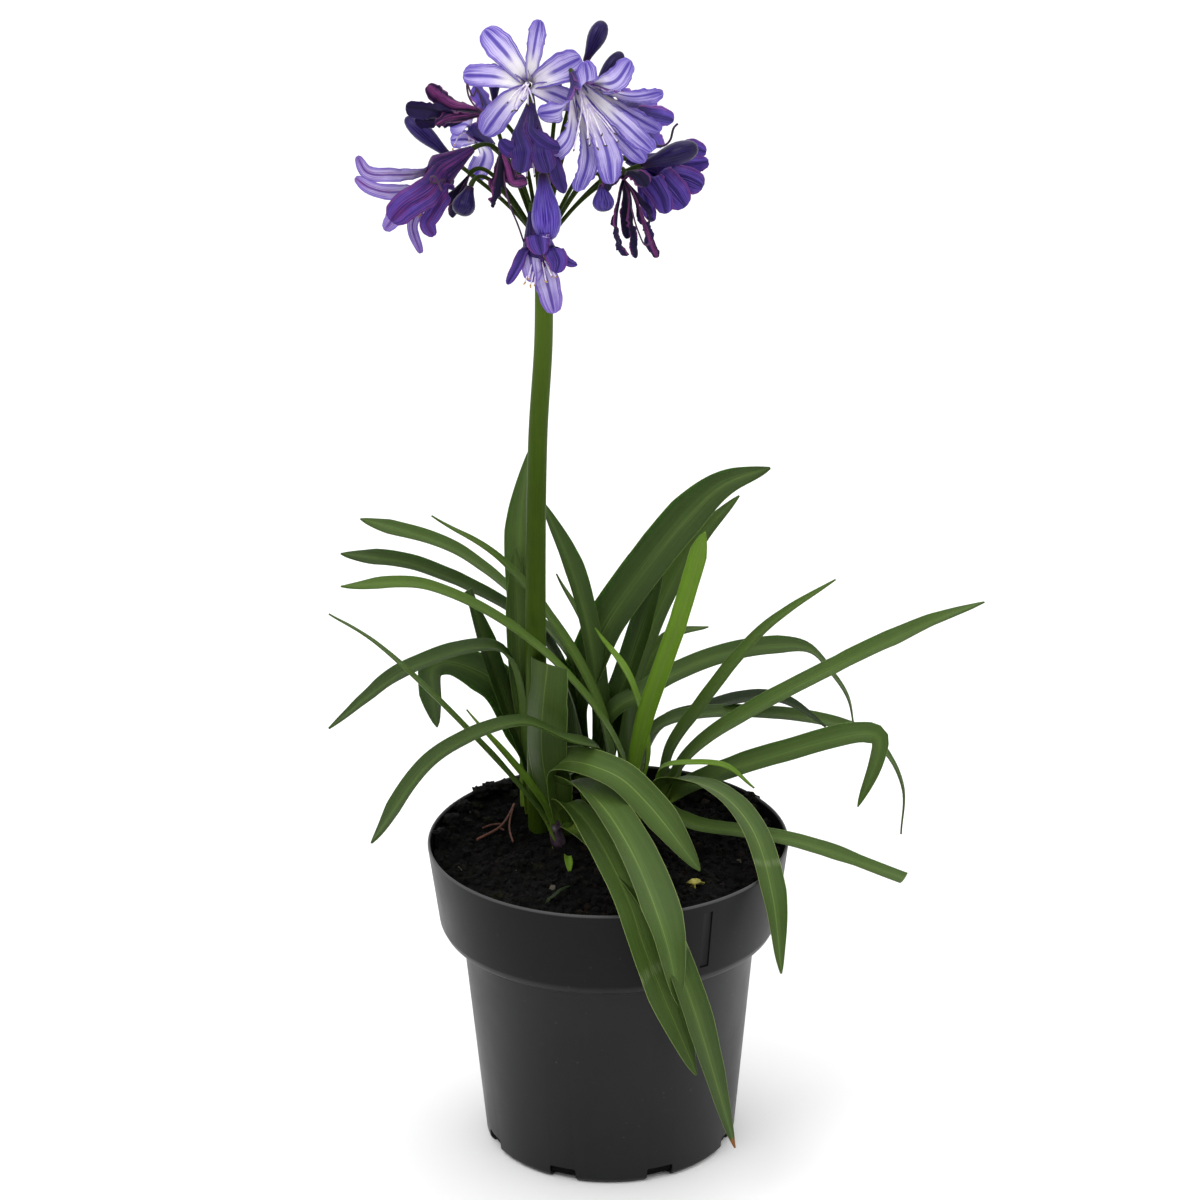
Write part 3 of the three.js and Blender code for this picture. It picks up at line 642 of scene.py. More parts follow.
def potMaterial():
    material, tree, shader = newMaterial("potPlastic")
    look, place = potLook, objectPlace(tree)
    cloud = noiseOf(place, *look["clouds"])
    skin = noiseOf(place, 900.0, 3.0, 0.6)
    dust = noiseOf(place, 260.0, 2.0)
    drawn = make(tree, "ShaderNodeMapping", {"Vector": place, "Scale": look["scuffScale"]})
    scuff = noiseOf(drawn, 1.0, 3.0, 0.7)
    height = split(place)[2]
    collar = between(height, *look["collar"])
    body = mix(between(cloud, *look["body"]), look["dark"], look["light"])
    body = mix(between(scuff, *look["scuffs"]), body, look["scuff"])
    body = mix(between(dust, *look["specks"]), body, look["dust"])
    body = mix(collar, body, look["collarTint"], "MULTIPLY")
    # painted highlight: the top of the rim is painted a lighter grey
    body = mix(between(height, *look["lipEdge"]), body, look["lip"])
    coat(shader, {"Base Color": body, "Roughness": between(cloud, *look["roughness"]),
                  "Specular IOR Level": look["specular"] - collar * look["collarDull"]}, skin, *look["bump"])
    return material


soilLook = {
    "fleck": colour(38, 32, 24), "bark": colour(36, 27, 20), "pale": colour(104, 98, 84),
    "moss": colour(44, 44, 20), "body": (0.35, 0.75), "flecks": (0.68, 0.78, 0.0, 0.5),
    "barks": (0.88, 1.0, 0.0, 0.7),
    "pales": (0.994, 0.996, 0.0, 0.7), "damp": (0.6, 0.72, 0.0, 0.35), "roughness": 0.9, "specular": 0.12,
    "bump": (0.0014, 1.0),
}


def soilMaterial(name, dark, light):
    material, tree, shader = newMaterial(name)
    look, place = soilLook, objectPlace(tree)
    coarse = noiseOf(place, 160.0, 5.0, 0.7)
    fine = noiseOf(place, 900.0, 4.0, 0.7)
    damp = noiseOf(place, 38.0, 4.0, 0.7)
    tint = attributes(tree, "tint")[0]
    body = mix(between(coarse, *look["body"]), dark, light)
    body = mix(between(fine, *look["flecks"]), body, look["fleck"])
    body = mix(between(tint, *look["barks"]), body, look["bark"])
    body = mix(between(tint, *look["pales"]), body, look["pale"])
    body = mix(between(damp, *look["damp"]), body, look["moss"])
    coat(shader, {"Base Color": body, "Roughness": look["roughness"], "Specular IOR Level": look["specular"]},
         coarse + fine, *look["bump"])
    return material


def plainMaterial(name, first, second, scale, roughness, bump=0.0002):
    material, tree, shader = newMaterial(name)
    cloud = noiseOf(objectPlace(tree), scale, 4.0, 0.6)
    tone = mix(between(cloud, 0.35, 0.65), first, second)
    coat(shader, {"Base Color": tone, "Roughness": roughness}, cloud, bump, 0.7)
    return material


budLook = {
    "skin": colour(26, 20, 52), "vividSkin": colour(108, 86, 188), "dark": colour(12, 9, 26),
    "vividDark": colour(50, 34, 120), "foot": colour(42, 24, 46), "tip": colour(30, 22, 50), "around": 12.0,
    "along": 2.5, "streak": (0.36, 0.64), "footRange": (0.3, 0.0), "tipRange": (0.9, 1.0, 0.0, 0.6),
    "bump": (0.0002, 0.5), "shader": {"Roughness": 0.3, "IOR": 1.22},
}


def budMaterial():
    material, tree, shader = newMaterial("budSkin")
    look = budLook
    along, around, vivid = attributes(tree, "along", "across", "fresh")
    streak = noiseOf(combine(around * look["around"], along * look["along"], vivid))
    skin = mix(vivid, look["skin"], look["vividSkin"])
    dark = mix(vivid, look["dark"], look["vividDark"])
    body = mix(between(streak, *look["streak"]), dark, skin)
    body = mix(between(along, *look["footRange"]), body, look["foot"])
    body = mix(between(along, *look["tipRange"]), body, look["tip"])
    coat(shader, {"Base Color": body, **look["shader"]}, streak, *look["bump"])
    return material


leafGreen, stemGreen = leafMaterial(), stemMaterial()
tepalSkins = {name: tepalMaterial(name) for name in tepalLooks}
potPlastic, budSkin = potMaterial(), budMaterial()
peat = soilMaterial("pottingMix", colour(4, 4, 4), colour(12, 11, 10))
crumb = soilMaterial("pottingCrumb", colour(5, 5, 5), colour(18, 16, 13))
moss = soilMaterial("mossTuft", colour(10, 11, 6), colour(30, 31, 13))
filament = plainMaterial("filamentPale", colour(244, 236, 244), colour(206, 190, 232), 300.0, 0.5)
darkThread = plainMaterial("filamentWilted", colour(78, 34, 80), colour(36, 18, 48), 300.0, 0.6)
darkSac = plainMaterial("pollenDark", colour(40, 32, 40), colour(84, 62, 40), 900.0, 0.7)
goldSac = plainMaterial("pollenGold", colour(196, 158, 74), colour(150, 112, 48), 900.0, 0.7)
strawPiece = plainMaterial("strawPiece", colour(150, 144, 58), colour(98, 92, 32), 400.0, 0.7)
twigBark = plainMaterial("twigBark", colour(106, 62, 46), colour(66, 38, 30), 500.0, 0.8)
purpleFoot = plainMaterial("purpleSheath", colour(34, 20, 34), colour(74, 58, 70), 240.0, 0.5)
print("materials made:", len(bpy.data.materials))


pot = {
    "profile": [(0, 0), (66.5, 0), (69, 2.5), (80, 122), (85.5, 124), (90.3, 127), (92.3, 131), (98, 174.8),
                (97.6, 175.8), (96.9, 176), (96.4, 175), (90.7, 131.6), (88.9, 128.4), (85, 126),
                (78.4, 123.6), (67.5, 2.4), (0, 2.4)],
    "collarWall": (6, 7), "cornerSoftness": 0.9, "sides": 224, "drains": 8, "drainWidth": 15.0,
    "drainHeight": 8.0, "drainReach": 14.0, "footRadius": 69.0, "grooveAngle": -57.5, "grooveWidth": 5.5,
    "grooveLength": 34.0, "grooveDepth": 1.0, "grooveMiddle": 153.0, "cutterBevel": 0.08, "sharpAngle": 38.0,
}


# the profile with each corner rounded off
def softened(profile, softness, steps=3):
    points = [asVector(p) for p in profile]
    line = [points[0]]
    for before, corner, after in zip(points, points[1:], points[2:]):
        a, b = before - corner, after - corner
        reach = min(softness, 0.42 * np.linalg.norm(a), 0.42 * np.linalg.norm(b))
        start, end = corner + unit(a) * reach, corner + unit(b) * reach
        for t in np.linspace(0, 1, steps + 1):
            line.append(start * (1 - t) ** 2 + 2 * corner * t * (1 - t) + end * t * t)
    return line + [points[-1]]


# a box sized along, across and up its own radius, in mm
def boxCutter(name, size, middle, angle, lean=0.0):
    work = bmesh.new()
    bmesh.ops.create_cube(work, size=1.0)
    bmesh.ops.scale(work, vec=tuple(c * mm for c in size), verts=work.verts)
    bmesh.ops.bevel(work, geom=work.edges, offset=min(size) * pot["cutterBevel"] * mm, segments=2,
                    affect="EDGES", profile=0.5)
    bmesh.ops.rotate(work, matrix=Matrix.Rotation(lean, 3, "Y"), verts=work.verts)
    bmesh.ops.translate(work, vec=tuple(c * mm for c in middle), verts=work.verts)
    bmesh.ops.rotate(work, matrix=Matrix.Rotation(math.radians(angle), 3, "Z"), verts=work.verts)
    mesh = bpy.data.meshes.new(name)
    work.to_mesh(mesh)
    work.free()
    return addObject(name, mesh)


def cutAway(piece, cutters):
    for cutter in cutters:
        modifier = piece.modifiers.new("cut", "BOOLEAN")
        modifier.operation = "DIFFERENCE"
        modifier.solver = "EXACT"
        modifier.object = cutter
    depsgraph = bpy.context.evaluated_depsgraph_get()
    mesh = bpy.data.meshes.new_from_object(piece.evaluated_get(depsgraph), depsgraph=depsgraph)
    piece.modifiers.clear()
    piece.data = mesh
    for cutter in cutters:
        bpy.data.objects.remove(cutter)


def makePot():
    line = [(r * mm, z * mm) for r, z in softened(pot["profile"], pot["cornerSoftness"])]
    points, faces = lathe(line, pot["sides"])
    piece = meshPiece("nurseryPot", points, faces, [potPlastic])
    outward(piece)
    drain = (pot["drainReach"], pot["drainWidth"], 2 * pot["drainHeight"])
    cutters = [boxCutter("drain", drain, (pot["footRadius"], 0, 0), 360 * (k + 0.5) / pot["drains"])
               for k in range(pot["drains"])]
    (lowRadius, lowHeight), (highRadius, highHeight) = [pot["profile"][k] for k in pot["collarWall"]]
    wide, tall = highRadius - lowRadius, highHeight - lowHeight
    atGroove = lowRadius + wide * (pot["grooveMiddle"] - lowHeight) / tall
    groove = (2 * pot["grooveDepth"], pot["grooveWidth"], pot["grooveLength"])
    cutters.append(boxCutter("groove", groove, (atGroove, 0, pot["grooveMiddle"]), pot["grooveAngle"],
                             math.atan2(wide, tall)))
    cutAway(piece, cutters)
    piece.data.set_sharp_from_angle(angle=math.radians(pot["sharpAngle"]))
    finishPiece(piece, "pot", "pot")


soil = {
    "height": 163.0, "wallLean": 0.12, "heave": 2.2, "rim": 94.0, "rings": 74, "spokes": 220, "lump": 2.6,
    "lumpSize": 9.0, "heap": 9.0, "heapFrom": 60.0, "heapPower": 1.6, "clearance": 1.5, "seed": 4,
    "tint": 0.3, "side": [(91.5, 140.0), (90.0, 131.9), (88.2, 129.0), (84.6, 126.4), (77.9, 124.0),
                          (67.1, 3.2), (0, 3.2)],
    "grains": {
        "soilCrumbs": {"Density": 130000.0, "Smallest": 0.001, "Largest": 0.007, "Length": 1.0, "Seed": 11},
        "soilChips": {"Density": 12000.0, "Smallest": 0.001, "Largest": 0.0022, "Length": 5.5, "Seed": 12}},
}


# the CAD soil's slow heave, in mm
def soilHeight(x, y):
    wave = math.sin(x / 17 + 1.2) * math.cos(y / 21 - 0.6) + 0.4 * math.sin(x / 9 - y / 11)
    return soil["height"] + soil["heave"] * wave / 1.4


def soilTop(x, y):
    rough = noise.fractal(Vector((x / soil["lumpSize"], y / soil["lumpSize"], soil["seed"])), 0.8, 2.1, 6)
    out = math.hypot(x, y)
    span = soil["rim"] - soil["heapFrom"]
    edge = min(1.0, max(0.0, (out - soil["heapFrom"]) / span)) ** soil["heapPower"]
    back = max(0.0, (y * 0.85 - x * 0.5) / max(out, 1.0))  # heaped against the back left wall
    return soilHeight(x, y) + soil["lump"] * rough + soil["heap"] * edge * back


def makeSoil(crowns):
    count, rings = soil["spokes"], soil["rings"]
    points, bare = [], []
    for i in range(rings + 1):
        radius = soil["rim"] * (i / rings) ** 0.9
        for k in range(count if i else 1):
            angle = 2 * math.pi * (k + 0.5 * (i % 2)) / count
            x, y = radius * math.cos(angle), radius * math.sin(angle)
            height = soilTop(x, y)
            if i == rings:  # the rim of the bed follows the leaning wall
                x, y = (c * (1 + soil["wallLean"] * (height - soil["height"]) / radius) for c in (x, y))
            points.append((x, y, height))
            near = min(math.hypot(x - c[0], y - c[1]) - c[2] for c in crowns)
            bare.append(1.0 if near > soil["clearance"] and radius < soil["rim"] - soil["clearance"] else 0.0)
    for radius, height in soil["side"]:
        for k in range(count if radius else 1):
            angle = 2 * math.pi * (k + 0.5 * (rings % 2)) / count
            points.append((radius * math.cos(angle), radius * math.sin(angle), height))
            bare.append(0.0)
    faces = [(0, 1 + k, 1 + (k + 1) % count) for k in range(count)]
    bands = rings + len(soil["side"]) - 2
    for i in range(bands):
        low, high = 1 + i * count, 1 + (i + 1) * count
        faces.extend((low + k, high + k, high + (k + 1) % count, low + (k + 1) % count) for k in range(count))
    last = 1 + bands * count
    faces.extend((last + (k + 1) % count, last + k, len(points) - 1) for k in range(count))
    piece = meshPiece("soilBed", np.array(points) * mm, faces, [peat])
    setFloats(piece.data, "bare", bare)
    setFloats(piece.data, "tint", [soil["tint"]] * len(points))
    for name, values in soil["grains"].items():
        grains = grow(name, addObject(name, piece.data.copy()), litter, {**values, "Material": crumb})
        finishPiece(grains, "soil")
    finishPiece(piece, "soil", "soil")


leafShape = {
    "footReach": 0.35, "footLimit": 1.3, "tipPower": 0.6, "bend": 0.22, "footBend": 1.25, "footShift": 0.35,
    "startHeight": 168.0, "rootHeight": 160.0, "rootPull": 0.25, "closing": 26.0, "veeFrom": 30.0,
    "veeTip": 0.15, "twistEnd": 0.95, "twistPower": 0.8, "step": 3.2,
    "tree": {"Sides": 24, "Thickness": 0.0011, "Ruffle": 0.0003, "Waves": 34.0},
}
leafTraits = {  # what a leaf has unless its own row says otherwise
    "foot": 0.72, "tip": 0.22, "blunt": 0.06, "vee": 0.26, "twist": (0.5, 0.0), "narrow": (0.5, 1.0),
}
bladeTraits = {"fresh": 0.4, "margin": 0.12, "burn": 2.0, "scar": 3.0, "frill": 1.0, "deep": 0.0,
               "blush": 0.0}
sheaths = {"count": 3, "start": 40.0, "perRadius": 17.0, "width": 1.25, "stagger": 2,
           "rows": ((0.3, 158), (0.6, 165), (0.68, 170), (0.75, 174)),
           "traits": {"fresh": 0.62, "margin": 0.8, "blunt": 0.5}}

# each leaf: the points it passes through in mm, its width, its turn in degrees, then what sets it apart
shoots = {
    "shoot_front": {"place": (-25, 31), "radius": 9, "leaves": [
        ([(-30, 25, 190), (-34, 24.5, 217.5), (-31, 21.5, 269)], 26.5, 5,
         {"blunt": 0.92, "fresh": 0.0, "margin": 0.3, "foot": 0.6}),
        ([(-27, 19, 212), (3, 2, 213), (22, -10, 200), (49, -34, 171)],
         19, -25, {"fresh": 0.5, "margin": 0.5}),
        ([(-26, 25, 197), (-12, 7, 203), (9, -42, 197), (29.5, -111.4, 172), (36, -120, 135)], 25, 15,
         {"fresh": 0.38, "margin": 0.5, "vee": 0.34}),
        ([(-24, 21, 187), (-11, -12, 191), (11, -94, 183), (19, -115.4, 166), (45, -113.6, 91)], 22.5, 12,
         {"fresh": 0.38, "margin": 0.5, "vee": 0.22, "scar": 0.74}),
        ([(-14, 4, 177), (23, -95, 180), (41, -116, 141), (66, -97, 38)], 17, 0,
         {"fresh": 0.3, "margin": 0.4, "burn": 0.975, "tip": 0.3, "scar": 0.56})]},
    "shoot_left": {"place": (-28, 17), "radius": 5, "sheaths": 0, "leaves": [
        ([(-40, 18, 188), (-122, 14, 284), (-148, 12, 303)], 8, 5, {"fresh": 0.55, "tip": 0.35}),
        ([(-35, 20, 187), (-76, 23, 242)], 7.5, 10, {"fresh": 0.8, "tip": 0.5})]},
    "shoot_scape": {"place": (-41, 57), "radius": 8, "sheaths": 0, "leaves": [
        ([(-42, 57, 211), (-47, 62, 329), (-40, 66, 376)], 18, 20, {"fresh": 0.4}),
        ([(-42, 54, 208), (-47, 54, 251), (-49, 57, 323)], 13, 65, {"fresh": 0.45}),
        ([(-45, 55, 190), (-56, 42, 269), (-105, 28, 265.5), (-150, 8, 238)], 14, 10, {"fresh": 0.22}),
        ([(-41, 60, 200), (-47, 61, 215), (-61, 64, 241), (-88, 67, 252), (-96, 66, 249), (-97, 65, 236),
         (-94, 64, 214)], 22, 68, {"fresh": 0.2, "tip": 0.12, "foot": 0.28, "narrow": (0.6, 0.66)}),
        ([(-43, 52, 196), (-55.5, 54, 234), (-75, 60, 297)],
         14, 30, {"blunt": 0.5, "fresh": 0.2, "foot": 0.5})]},
    "shoot_back": {"place": (-6, 68), "radius": 9, "leaves": [
        ([(-16, 72, 239), (-23, 73, 256.5), (-78, 79, 311), (-134, 82, 331)], 11, 4,
         {"fresh": 0.42, "tip": 0.07, "foot": 0.35, "twist": (0.6, 24)}),
        ([(-16, 67, 222), (-37, 71, 268), (-100, 75, 305), (-145, 76, 313)], 12.5, 10,
         {"fresh": 0.22, "tip": 0.08, "foot": 0.55, "twist": (0.6, 15)}),
        ([(-5, 61, 241), (-16, 59, 304), (-34, 58, 349)], 15, 55, {"fresh": 0.25}),
        ([(-8, 80, 256), (-27, 86, 296)], 9, -5, {"fresh": 0.4, "tip": 0.4}),
        ([(-18, 69, 226), (-7, 71, 256), (3.5, 74, 276.5), (61.5, 88, 344), (91, 94, 354)], 24.5, -40,
         {"fresh": 0.22, "margin": 0.2}),
        ([(4.5, 69, 223), (11, 70, 243), (24.5, 72, 284), (31, 72, 300)], 14, -55,
         {"fresh": 0.2, "foot": 0.6, "vee": 0.5}),
        ([(-3, 61, 213), (6, 59, 227.5), (20, 63, 234), (33, 70, 240), (62, 80, 248.5), (91, 88, 250.5),
          (113, 94, 246.5), (127, 96, 230), (136, 98, 214), (140, 100, 193)], 14, -25,
         {"fresh": 0.28, "foot": 0.5, "narrow": (0.68, 0.5)})]},
    "shoot_middle": {"place": (8, 46), "radius": 9, "leaves": [
        ([(8, 40, 206), (-33, 25, 274), (-95, 7, 320.5), (-140, -4, 325)], 9.5, 22,
         {"fresh": 0.62, "tip": 0.08, "foot": 1.1}),
        ([(-6, 49, 238), (-54, 43.5, 318.5), (-93, 40, 348)],
         10, 25, {"fresh": 0.6, "tip": 0.5, "foot": 1.1}),
        ([(-3, 32, 212), (-23, 8, 231.5), (-46, 7, 241.5), (-92, -5, 226.5), (-127, -27, 186)], 13.5, 5,
         {"fresh": 0.26, "tip": 0.1}),
        ([(19.5, 41, 221), (43, 35, 298), (53.5, 32, 340)], 13, -60,
         {"fresh": 0.85, "tip": 0.07, "margin": 0.3, "foot": 0.25}),
        ([(22, 49, 201), (13, 47, 249), (-6, 45, 280)], 7.5, 25, {"fresh": 0.85})]},
    "shoot_right": {"place": (27, 57), "radius": 9, "leaves": [
        ([(35, 60, 201), (52, 62, 226.5), (69, 64, 250), (90.5, 66, 273.5), (126, 68, 298)], 10.5, -25,
         {"fresh": 0.6, "tip": 0.45}),
        ([(47, 53, 203), (173, 34, 285), (204, 30, 299)], 15, -20, {"fresh": 0.55}),
        ([(43, 51, 182), (100, 47, 205), (141, 43, 217), (149, 42, 215), (148, 40, 202), (138, 38, 175)],
         16, -30, {"fresh": 0.42, "tip": 0.26, "twist": (0.72, -55), "narrow": (0.66, 0.8)}),
        ([(38, 25, 176), (51, 8, 178), (74, -3, 179.5), (103, -19, 180.5), (157, -50, 173)], 11.5, -15,
         {"blunt": 0.8, "fresh": 0.5}),
        ([(32, 45, 188), (55, 20, 197), (77, -25, 193), (87, -60, 170), (91, -73, 129)], 16, 8,
         {"fresh": 0.36, "margin": 0.6, "scar": 0.7}),
        ([(29.5, 48, 195), (46.5, 42, 201), (65.5, 40, 199.5), (81, 40, 186)], 6, -5, {"fresh": 0.85})]},
    "shoot_far": {"place": (13, 79), "radius": 8, "leaves": [
        ([(11, 87, 206), (13, 91, 225), (19.5, 97, 243), (35.5, 107, 279), (54.5, 112, 309),
         (75, 117, 329.5)], 14, -25, {"fresh": 0.45}),
        ([(14, 88, 190), (17, 95, 217), (26, 105, 239), (37, 110, 249.5), (58, 122, 249)],
         8, -25, {"fresh": 0.45}),
        ([(30, 90, 202), (52, 96, 209), (73, 93, 217), (92, 87, 220.5), (105, 81, 218), (122, 73, 208)],
         13, -10, {"fresh": 0.05, "tip": 0.3}),
        ([(27, 76, 207), (52, 83, 212.5), (92, 87, 210.5), (135, 90, 200.5), (155.5, 93, 185.5),
         (167.5, 95, 160), (167, 96, 131)], 12, -15, {"fresh": 0.35, "narrow": (0.7, 0.55)})]},
}


# side and upper vectors along a line: level, square to it and turned by degrees
def bladeFrames(line, level, turn):
    tangents = np.gradient(line, axis=0)
    tangents /= np.linalg.norm(tangents, axis=1)[:, None]
    sides = level - tangents * np.sum(tangents * level, axis=1)[:, None]
    sides /= np.linalg.norm(sides, axis=1)[:, None]
    angle = np.radians(turn)
    angle = angle[:, None] if np.ndim(angle) else angle
    sides = sides * np.cos(angle) - np.cross(tangents, sides) * np.sin(angle)
    return sides, np.cross(sides, tangents)


def leafBlade(via, width, turn, traits, place, radius):
    shape, own = leafShape, {**leafTraits, **bladeTraits, **traits}
    place = asVector(place)
    lean = asVector(via[0])[:2] - place
    foot = place + lean / max(np.linalg.norm(lean), 1e-6) * shape["footShift"] * radius
    root = foot * (1 - shape["rootPull"]) + place * shape["rootPull"]
    line, run = smoothLine(np.vstack([[*root, shape["rootHeight"]], [*foot, shape["startHeight"]], via]),
                           shape["step"])
    u = run / run[-1]
    heading = np.array([*(asVector(via[-1])[:2] - foot), 0.0])
    twistFrom, twist = own["twist"]
    twisted = np.clip((u - twistFrom) / (shape["twistEnd"] - twistFrom), 0, 1) ** shape["twistPower"]
    sides, uppers = bladeFrames(line, np.cross(unit(heading), up), turn + twist * twisted)
    footShare = min(own["foot"], shape["footLimit"] * radius / width)
    narrowFrom, narrow = own["narrow"]
    foots = footShare + (1 - footShare) * np.minimum(u / shape["footReach"], 1)
    tips = np.minimum((1 - u) / own["tip"], 1) ** shape["tipPower"]
    half = width / 2 * foots * np.maximum(tips, own["blunt"]) * mm
    half *= np.interp(u, [0, narrowFrom, narrowFrom + 0.1, 1], [1, 1, narrow, narrow])
    closing = np.clip(1 - run / (shape["closing"] * mm), 0, 1)
    bend = shape["bend"] + (shape["footBend"] - shape["bend"]) * closing
    vee = own["vee"] * np.clip(run / (shape["veeFrom"] * mm), 0, 1)
    vee *= np.clip((1 - u) / shape["veeTip"], 0.2, 1)
    centre = line - uppers * (half * (vee * 0.5 + bend * 0.25))[:, None]
    return {**own, "line": line, "half": half, "bend": bend, "vee": vee, "along": u, "run": run,
            "side": sides, "upper": uppers, "centre": centre}


def growBlades(name, parts, settings, material):
    floats = {key: [part[key] + np.zeros(len(part["line"])) for part in parts]
              for key in ("half", "bend", "vee", "along", "run", *bladeTraits)}
    vectors = {key: [part[key] for part in parts] for key in ("side", "upper", "centre")}
    source = chain(name, [part["line"] for part in parts], floats, vectors)
    return grow(name, source, blades, {**settings, "Material": material})


def makeLeaves():
    for name, shoot in shoots.items():
        place, radius = asVector(shoot["place"]), shoot["radius"]
        parts = [leafBlade(*leaf, place, radius) for leaf in shoot["leaves"]]
        for k in range(shoot.get("sheaths", sheaths["count"])):  # the short sheaths round the foot
            angle = math.radians(120 * k + sheaths["start"] + sheaths["perRadius"] * radius)
            out = np.array([math.cos(angle), math.sin(angle)])
            at = [np.array([*(place + out * radius * reach), z]) for reach, z in sheaths["rows"]]
            at[-1][2] += sheaths["stagger"] * (k % 2)
            parts.append(leafBlade(at[1:], sheaths["width"] * radius, 0, sheaths["traits"], at[0][:2], 1.0))
        finishPiece(growBlades(name + ".leaves", parts, leafShape["tree"], leafGreen), "leaf", name)


stem = {
    "path": [(-38, 41, 142), (-38, 41, 168), (-38, 35, 290), (-35.2, 30, 395), (-31.4, 27, 450),
             (-30.5, 25, 499)],
    "step": 5.0, "sides": 14, "footRadius": 6.2, "topRadius": 4.7, "topSwell": (1.02, 1.06, 1.0),
    "fresh": 0.75,
    "centre": (-31, 25, 501), "pedicelRadius": 1.1, "pedicelPoints": 26, "lift": 0.5, "startPull": 0.42,
    "endPull": 0.3, "leastPull": 12.0, "gap": 0.3, "endSwell": (0.35, 0.14), "startSwell": (0.3, 0.12),
    "head": [(0, -6.2), (4.0, -5.2), (5.9, -2.6), (6.3, 0), (5.2, 2.9), (2.8, 4.8), (0, 5.4)],
    "headSides": 32, "headLobes": (8, 0.06), "headTone": {"along": 0.2, "fresh": 0.6},
}


# a Bezier from the head of the stem to the foot of a floret
def pedicel(at, toward):
    centre, facing = asVector(stem["centre"]), unit(toward)
    end = asVector(at) - facing * stem["gap"]
    span = np.linalg.norm(end - centre)
    after = centre + unit(end - centre + up * stem["lift"] * span) * stem["startPull"] * span
    before = end - facing * max(stem["endPull"] * span, stem["leastPull"])
    t = np.linspace(0, 1, stem["pedicelPoints"])[:, None]
    start = centre * (1 - t) ** 3 + 3 * after * t * (1 - t) ** 2
    return (start + 3 * before * t * t * (1 - t) + end * t ** 3) * mm


# threads along lines, with their half widths in mm; sacs holds the way each pollen sac points
def threadPiece(name, lines, halves, freshes, material, sacs=None, sacMaterial=None, sides=8):
    ones = [np.ones(len(line)) for line in lines]
    aims = sacs or [(0, 0, 1)] * len(lines)
    floats = {"half": [h * mm * one for h, one in zip(halves, ones)],
              "along": [np.linspace(0, 1, len(one)) for one in ones],
              "fresh": [f * one for f, one in zip(freshes, ones)], "sac": [one * bool(sacs) for one in ones]}
    vectors = {"sacAim": [np.tile(unit(way), (len(line), 1)) for way, line in zip(aims, lines)]}
    source = chain(name, lines, floats, vectors)
    values = {"Sides": sides, "Material": material}
    if sacs:
        values["Sac material"] = sacMaterial
    return grow(name, source, threads, values)


def makeStem(ends):
    line, run = smoothLine(stem["path"], stem["step"])
    radii = np.interp(run / run[-1], [0, 1], [stem["footRadius"], stem["topRadius"]])
    radii[-3:] *= stem["topSwell"]
    lines, halves, freshes = [line], [radii], [stem["fresh"]]
    for index, (at, toward) in enumerate(ends):
        path = pedicel(at, toward)
        t = np.linspace(0, 1, len(path))
        swell = 1
        for (growth, reach), away in ((stem["endSwell"], 1 - t), (stem["startSwell"], t)):
            swell = swell + growth * np.clip((reach - away) / reach, 0, 1)
        lines.append(path)
        halves.append(stem["pedicelRadius"] * swell)
        freshes.append(0.15 + 0.3 * ((index * 37) % 10) / 10)
    stalks = threadPiece("flowerStem.stalks", lines, halves, freshes, stemGreen, sides=stem["sides"])
    points, faces = lathe([(r * mm, z * mm) for r, z in stem["head"]], stem["headSides"], *stem["headLobes"])
    head = meshPiece("stemHead", np.array(points) + asVector(stem["centre"]) * mm, faces, [stemGreen])
    outward(head)
    for key, value in stem["headTone"].items():
        setFloats(head.data, key, [value] * len(head.data.vertices))
    finishPiece(joinPieces("flowerStem", [stalks, head]), "scape", "scape")


tepalShape = {
    "stations": [0, 0.12, 0.3, 0.5, 0.7, 0.85, 0.94, 0.985, 1],
    "widths": [0.3, 0.42, 0.62, 0.86, 1.0, 0.96, 0.78, 0.52, 0.22],
    "bends": ([0, 0.3, 0.6, 1], [1.3, 0.8, 0.3, 0.2]), "frills": ([0, 0.35, 0.6, 1], [0, 0.2, 1, 0.7]),
    "deeps": ([0, 0.35, 0.75], [1, 0.7, 0.15]), "uneven": 0.05, "vee": 0.06, "turnFrom": 0.4, "turnOver": 0.3,
    "snugUntil": 0.62, "snugOver": 0.3, "overlap": 1.12, "step": 1.0,
    "tree": {"Sides": 20, "Thickness": 0.0006, "Ruffle": 0.0011, "Waves": 260.0},
    "tubes": {"open": [(0, 1.4), (5, 2.4), (10, 3.8)], "closed": [(0, 1.4), (6, 3.4), (13, 5.6), (19, 7.4)]},
}
stamenShape = {"half": 0.38, "sides": 6, "step": 1.8, "start": 6.0, "middle": 17.0, "seed": 20}
wiltShape = {"step": 0.7, "twist": 90.0, "traits": {"frill": 1.4, "vee": 0.3, "deep": 0.3},
             "tree": {"Sides": 16, "Thickness": 0.0008, "Ruffle": 0.0012, "Waves": 330.0}}
curlShape = {"step": 1.2, "half": 0.65, "wiltHalf": 0.5, "sides": 6, "fresh": 0.4}

